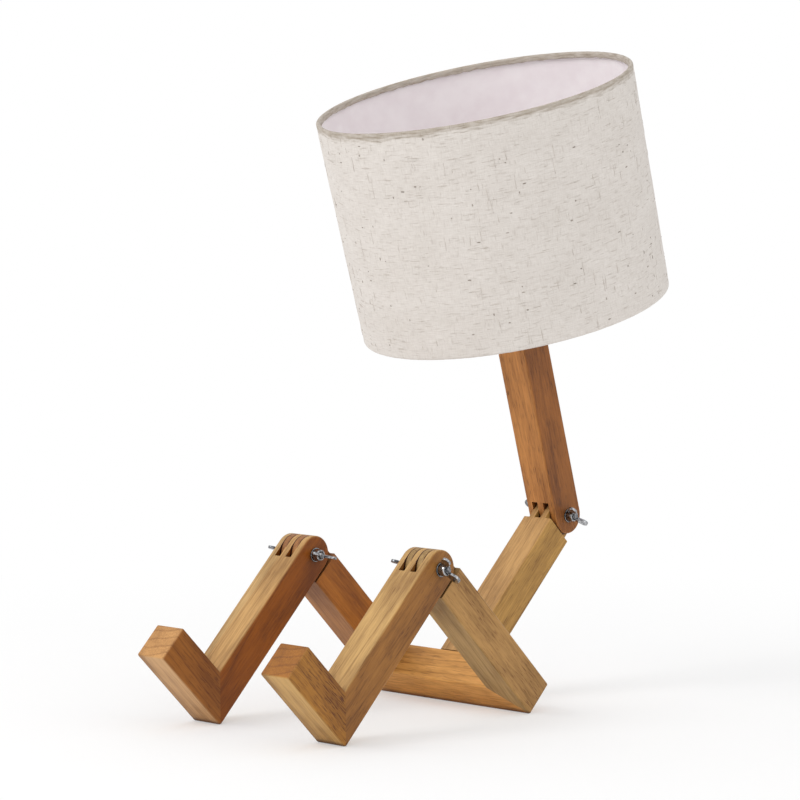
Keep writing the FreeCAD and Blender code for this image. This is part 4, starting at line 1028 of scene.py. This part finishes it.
# %% Lamp holder
SLEEVE = 19.0
BORE = 16.8
THROAT = 14.1
NIPPLE_HOLE = 5.1
FLANGE = 21.6
FLANGE_FOOT = 20.05
FLANGE_TOP = 23.0
HOLDER_TOP = 52.0
SLEEVE_PITCH = 2.4
cap = turned(round_corners([
    (NIPPLE_HOLE, 0, 0.3), (11.5, 0, 2.0), (15.4, 0.9, 2.4), (18.3, 4.4, 2.4), (SLEEVE, 8.4, 2.0),
    (SLEEVE, 20, 0.4), (BORE, 20, 0.2), (BORE, 18.95, 0), (15.3, 18.95, 0.2), (BORE, 17.4, 0),
    (BORE, 8.0, 2.0), (13.4, 3.6, 2.0), (10.5, 2.6, 1.0), (NIPPLE_HOLE, 2.6, 0.3)]))
new_piece("holder_cap_moulding", to_mesh(cap, SHADE_FRAME), WHITE_PLASTIC, "head", "white_plastic",
          "holder_cap")
sleeve = turned(round_corners([
    (BORE, FLANGE_FOOT, 0.2), (FLANGE, FLANGE_FOOT, 0.5), (FLANGE, FLANGE_TOP, 0.5),
    (SLEEVE, FLANGE_TOP, 0), *wall(SLEEVE, 23.5, 51.2, 0.25), (18.2, HOLDER_TOP, 0.4),
    (THROAT, HOLDER_TOP, 0.4), (THROAT, 49.8, 0.2), (BORE, 49.8, 0), (BORE, 26.25, 0),
    (THROAT, 26.25, 0.2), (THROAT, 24.05, 0.2), (BORE, 24.05, 0)]))
press_thread(sleeve, SLEEVE, 0.05, 23.4, 51.4, SLEEVE_PITCH, 0.9)
new_piece("holder_sleeve_moulding", to_mesh(sleeve, SHADE_FRAME, 50), WHITE_PLASTIC, "head",
          "white_plastic", "holder_sleeve")

# %% [markdown]
# The ring nut has ribs for the fingers. One rib repeated round a circle is what Geometry
# Nodes do best: a circle of points, a rib on each, turned by its number round the circle.

# %% Ring nut with ribs
NUT_FOOT = 25.05
NUT_TOP = 34.05
NUT_BORE = 19.1
NUT_RADIUS = 22.6


def rib_tree():
    """Half-round ribs that stand round a circle."""
    tree, given = new_tree("ring_nut_ribs", {"Ribs": "Int", "Circle Radius": "Float", "Rib Radius": "Float",
                                             "Rib Height": "Float", "Middle": "Float",
                                             "Material": "Material"})
    circle = add_node(tree, "GeometryNodeMeshCircle",
                      {"Vertices": given["Ribs"], "Radius": given["Circle Radius"]})
    rib = add_node(tree, "GeometryNodeMeshCylinder",
                   {"Vertices": 10, "Radius": given["Rib Radius"], "Depth": given["Rib Height"]})
    stood = add_node(tree, "GeometryNodeInstanceOnPoints", {"Points": circle, "Instance": rib})
    real = add_node(tree, "GeometryNodeRealizeInstances", {0: stood})
    lift = add_node(tree, "CombineXYZ", {2: given["Middle"]})
    raised = add_node(tree, "GeometryNodeSetPosition", {"Geometry": real, "Offset": lift})
    dressed = add_node(tree, "GeometryNodeSetMaterial", {"Geometry": raised, "Material": given["Material"]})
    add_node(tree, "NodeGroupOutput", {0: dressed})
    return tree


ring = turned(round_corners([(NUT_BORE, NUT_FOOT, 0.3), (NUT_RADIUS, NUT_FOOT, 0.6),
                             (NUT_RADIUS, NUT_TOP, 1.0), (NUT_BORE, NUT_TOP, 0.5)]))
ribs = grow(rib_tree(), "ribs", {"Ribs": 44, "Circle Radius": 22.35 * MM, "Rib Radius": 0.6 * MM,
                                 "Rib Height": 6.8 * MM, "Middle": (NUT_FOOT + NUT_TOP) / 2 * MM,
                                 "Material": WHITE_PLASTIC})
ring.from_mesh(ribs)
new_piece("shade_ring_nut_moulding", to_mesh(ring, SHADE_FRAME), WHITE_PLASTIC, "head", "white_plastic",
          "shade_ring_nut")

# %% [markdown]
# Inside the sleeve a brass shell is pressed with the round thread that takes the bulb. The
# bulb's base is rolled from thin aluminium with the same thread, 3.6 mm from turn to turn,
# and carries a blown globe of opal glass.

# %% Shell and bulb
BULB_PITCH = 3.6
BASE = 13.1
BASE_BORE = 12.3
BASE_FOOT = 27.65
BASE_TOP = 49.65
GLOBE_MIDDLE = 82.65
GLOBE = 22.5
GLOBE_BORE = 21.6
GLOBE_STARTS = -18.4
GLOBE_ROWS = 36
shell = turned(round_corners([*wall(13.6, 24.0, 46.0, 0.3), *wall(14.0, 46.0, 24.0, 0.3)]))
press_thread(shell, 13.8, 0.3, 25.5, 45.5, BULB_PITCH, 0.5)
new_piece("holder_thread_shell", to_mesh(shell, SHADE_FRAME, 50), BRASS, "head", "brass", "holder_shell")
base = turned(round_corners([
    (0, BASE_FOOT, 0), (6.4, BASE_FOOT, 0.5), (13.0, 30.85, 0.8), *wall(BASE, 31.2, 49.0, 0.3),
    (BASE, BASE_TOP, 0.3), (BASE_BORE, BASE_TOP, 0), (BASE_BORE, 30.9, 0.4), (5.6, 28.45, 0.4),
    (0, 28.45, 0)]))
press_thread(base, BASE, 0.05, 31.0, 48.0, BULB_PITCH, 0.9)
new_piece("bulb_screw_base", to_mesh(base, SHADE_FRAME, 50), ALUMINIUM, "head", "bulb_aluminium",
          "bulb_base")
globe = turned(round_corners([
    (11.9, BASE_TOP, 0), (12.8, BASE_TOP, 0.2), (12.8, 52.0, 2.0),
    *arc(GLOBE_MIDDLE, GLOBE, GLOBE_STARTS, 90, GLOBE_ROWS),
    *arc(GLOBE_MIDDLE, GLOBE_BORE, 90, GLOBE_STARTS, GLOBE_ROWS), (11.9, 52.0, 2.0)]), 128)
new_piece("bulb_opal_globe", to_mesh(globe, SHADE_FRAME), OPAL_GLASS, "head", "opal_glass", "bulb_globe")

# %% [markdown]
# A bushing lines the cord's inlet behind the upper torso. It is a moulded ring with a
# rounded lip, made in the frame of the mount that it belongs to.

# %% Cord bushing
INLET_DROP = 27.0
INLET_PLACE = WAIST + HEAD_WAY * (UPPER_TORSO - INLET_DROP) * MM + INLET_WAY * BAR_HALF * MM
INLET_FRAME = Matrix.Translation(INLET_PLACE) @ Matrix.Rotation(LEAN - math.pi / 2, 4, "X")
bushing = turned(round_corners([(2.8, -6.8, 0.4), (4.5, -6.8, 0.2), (4.5, 0, 0), (6.5, 0, 0.2),
                                (6.1, 1.2, 0.5), (5.2, 1.5, 0.5), (2.8, 1.5, 0.9)]), 64)
new_piece("cord_bushing_moulding", to_mesh(bushing, INLET_FRAME), BLACK_PLASTIC, "head", "black_plastic",
          "cord_bushing")
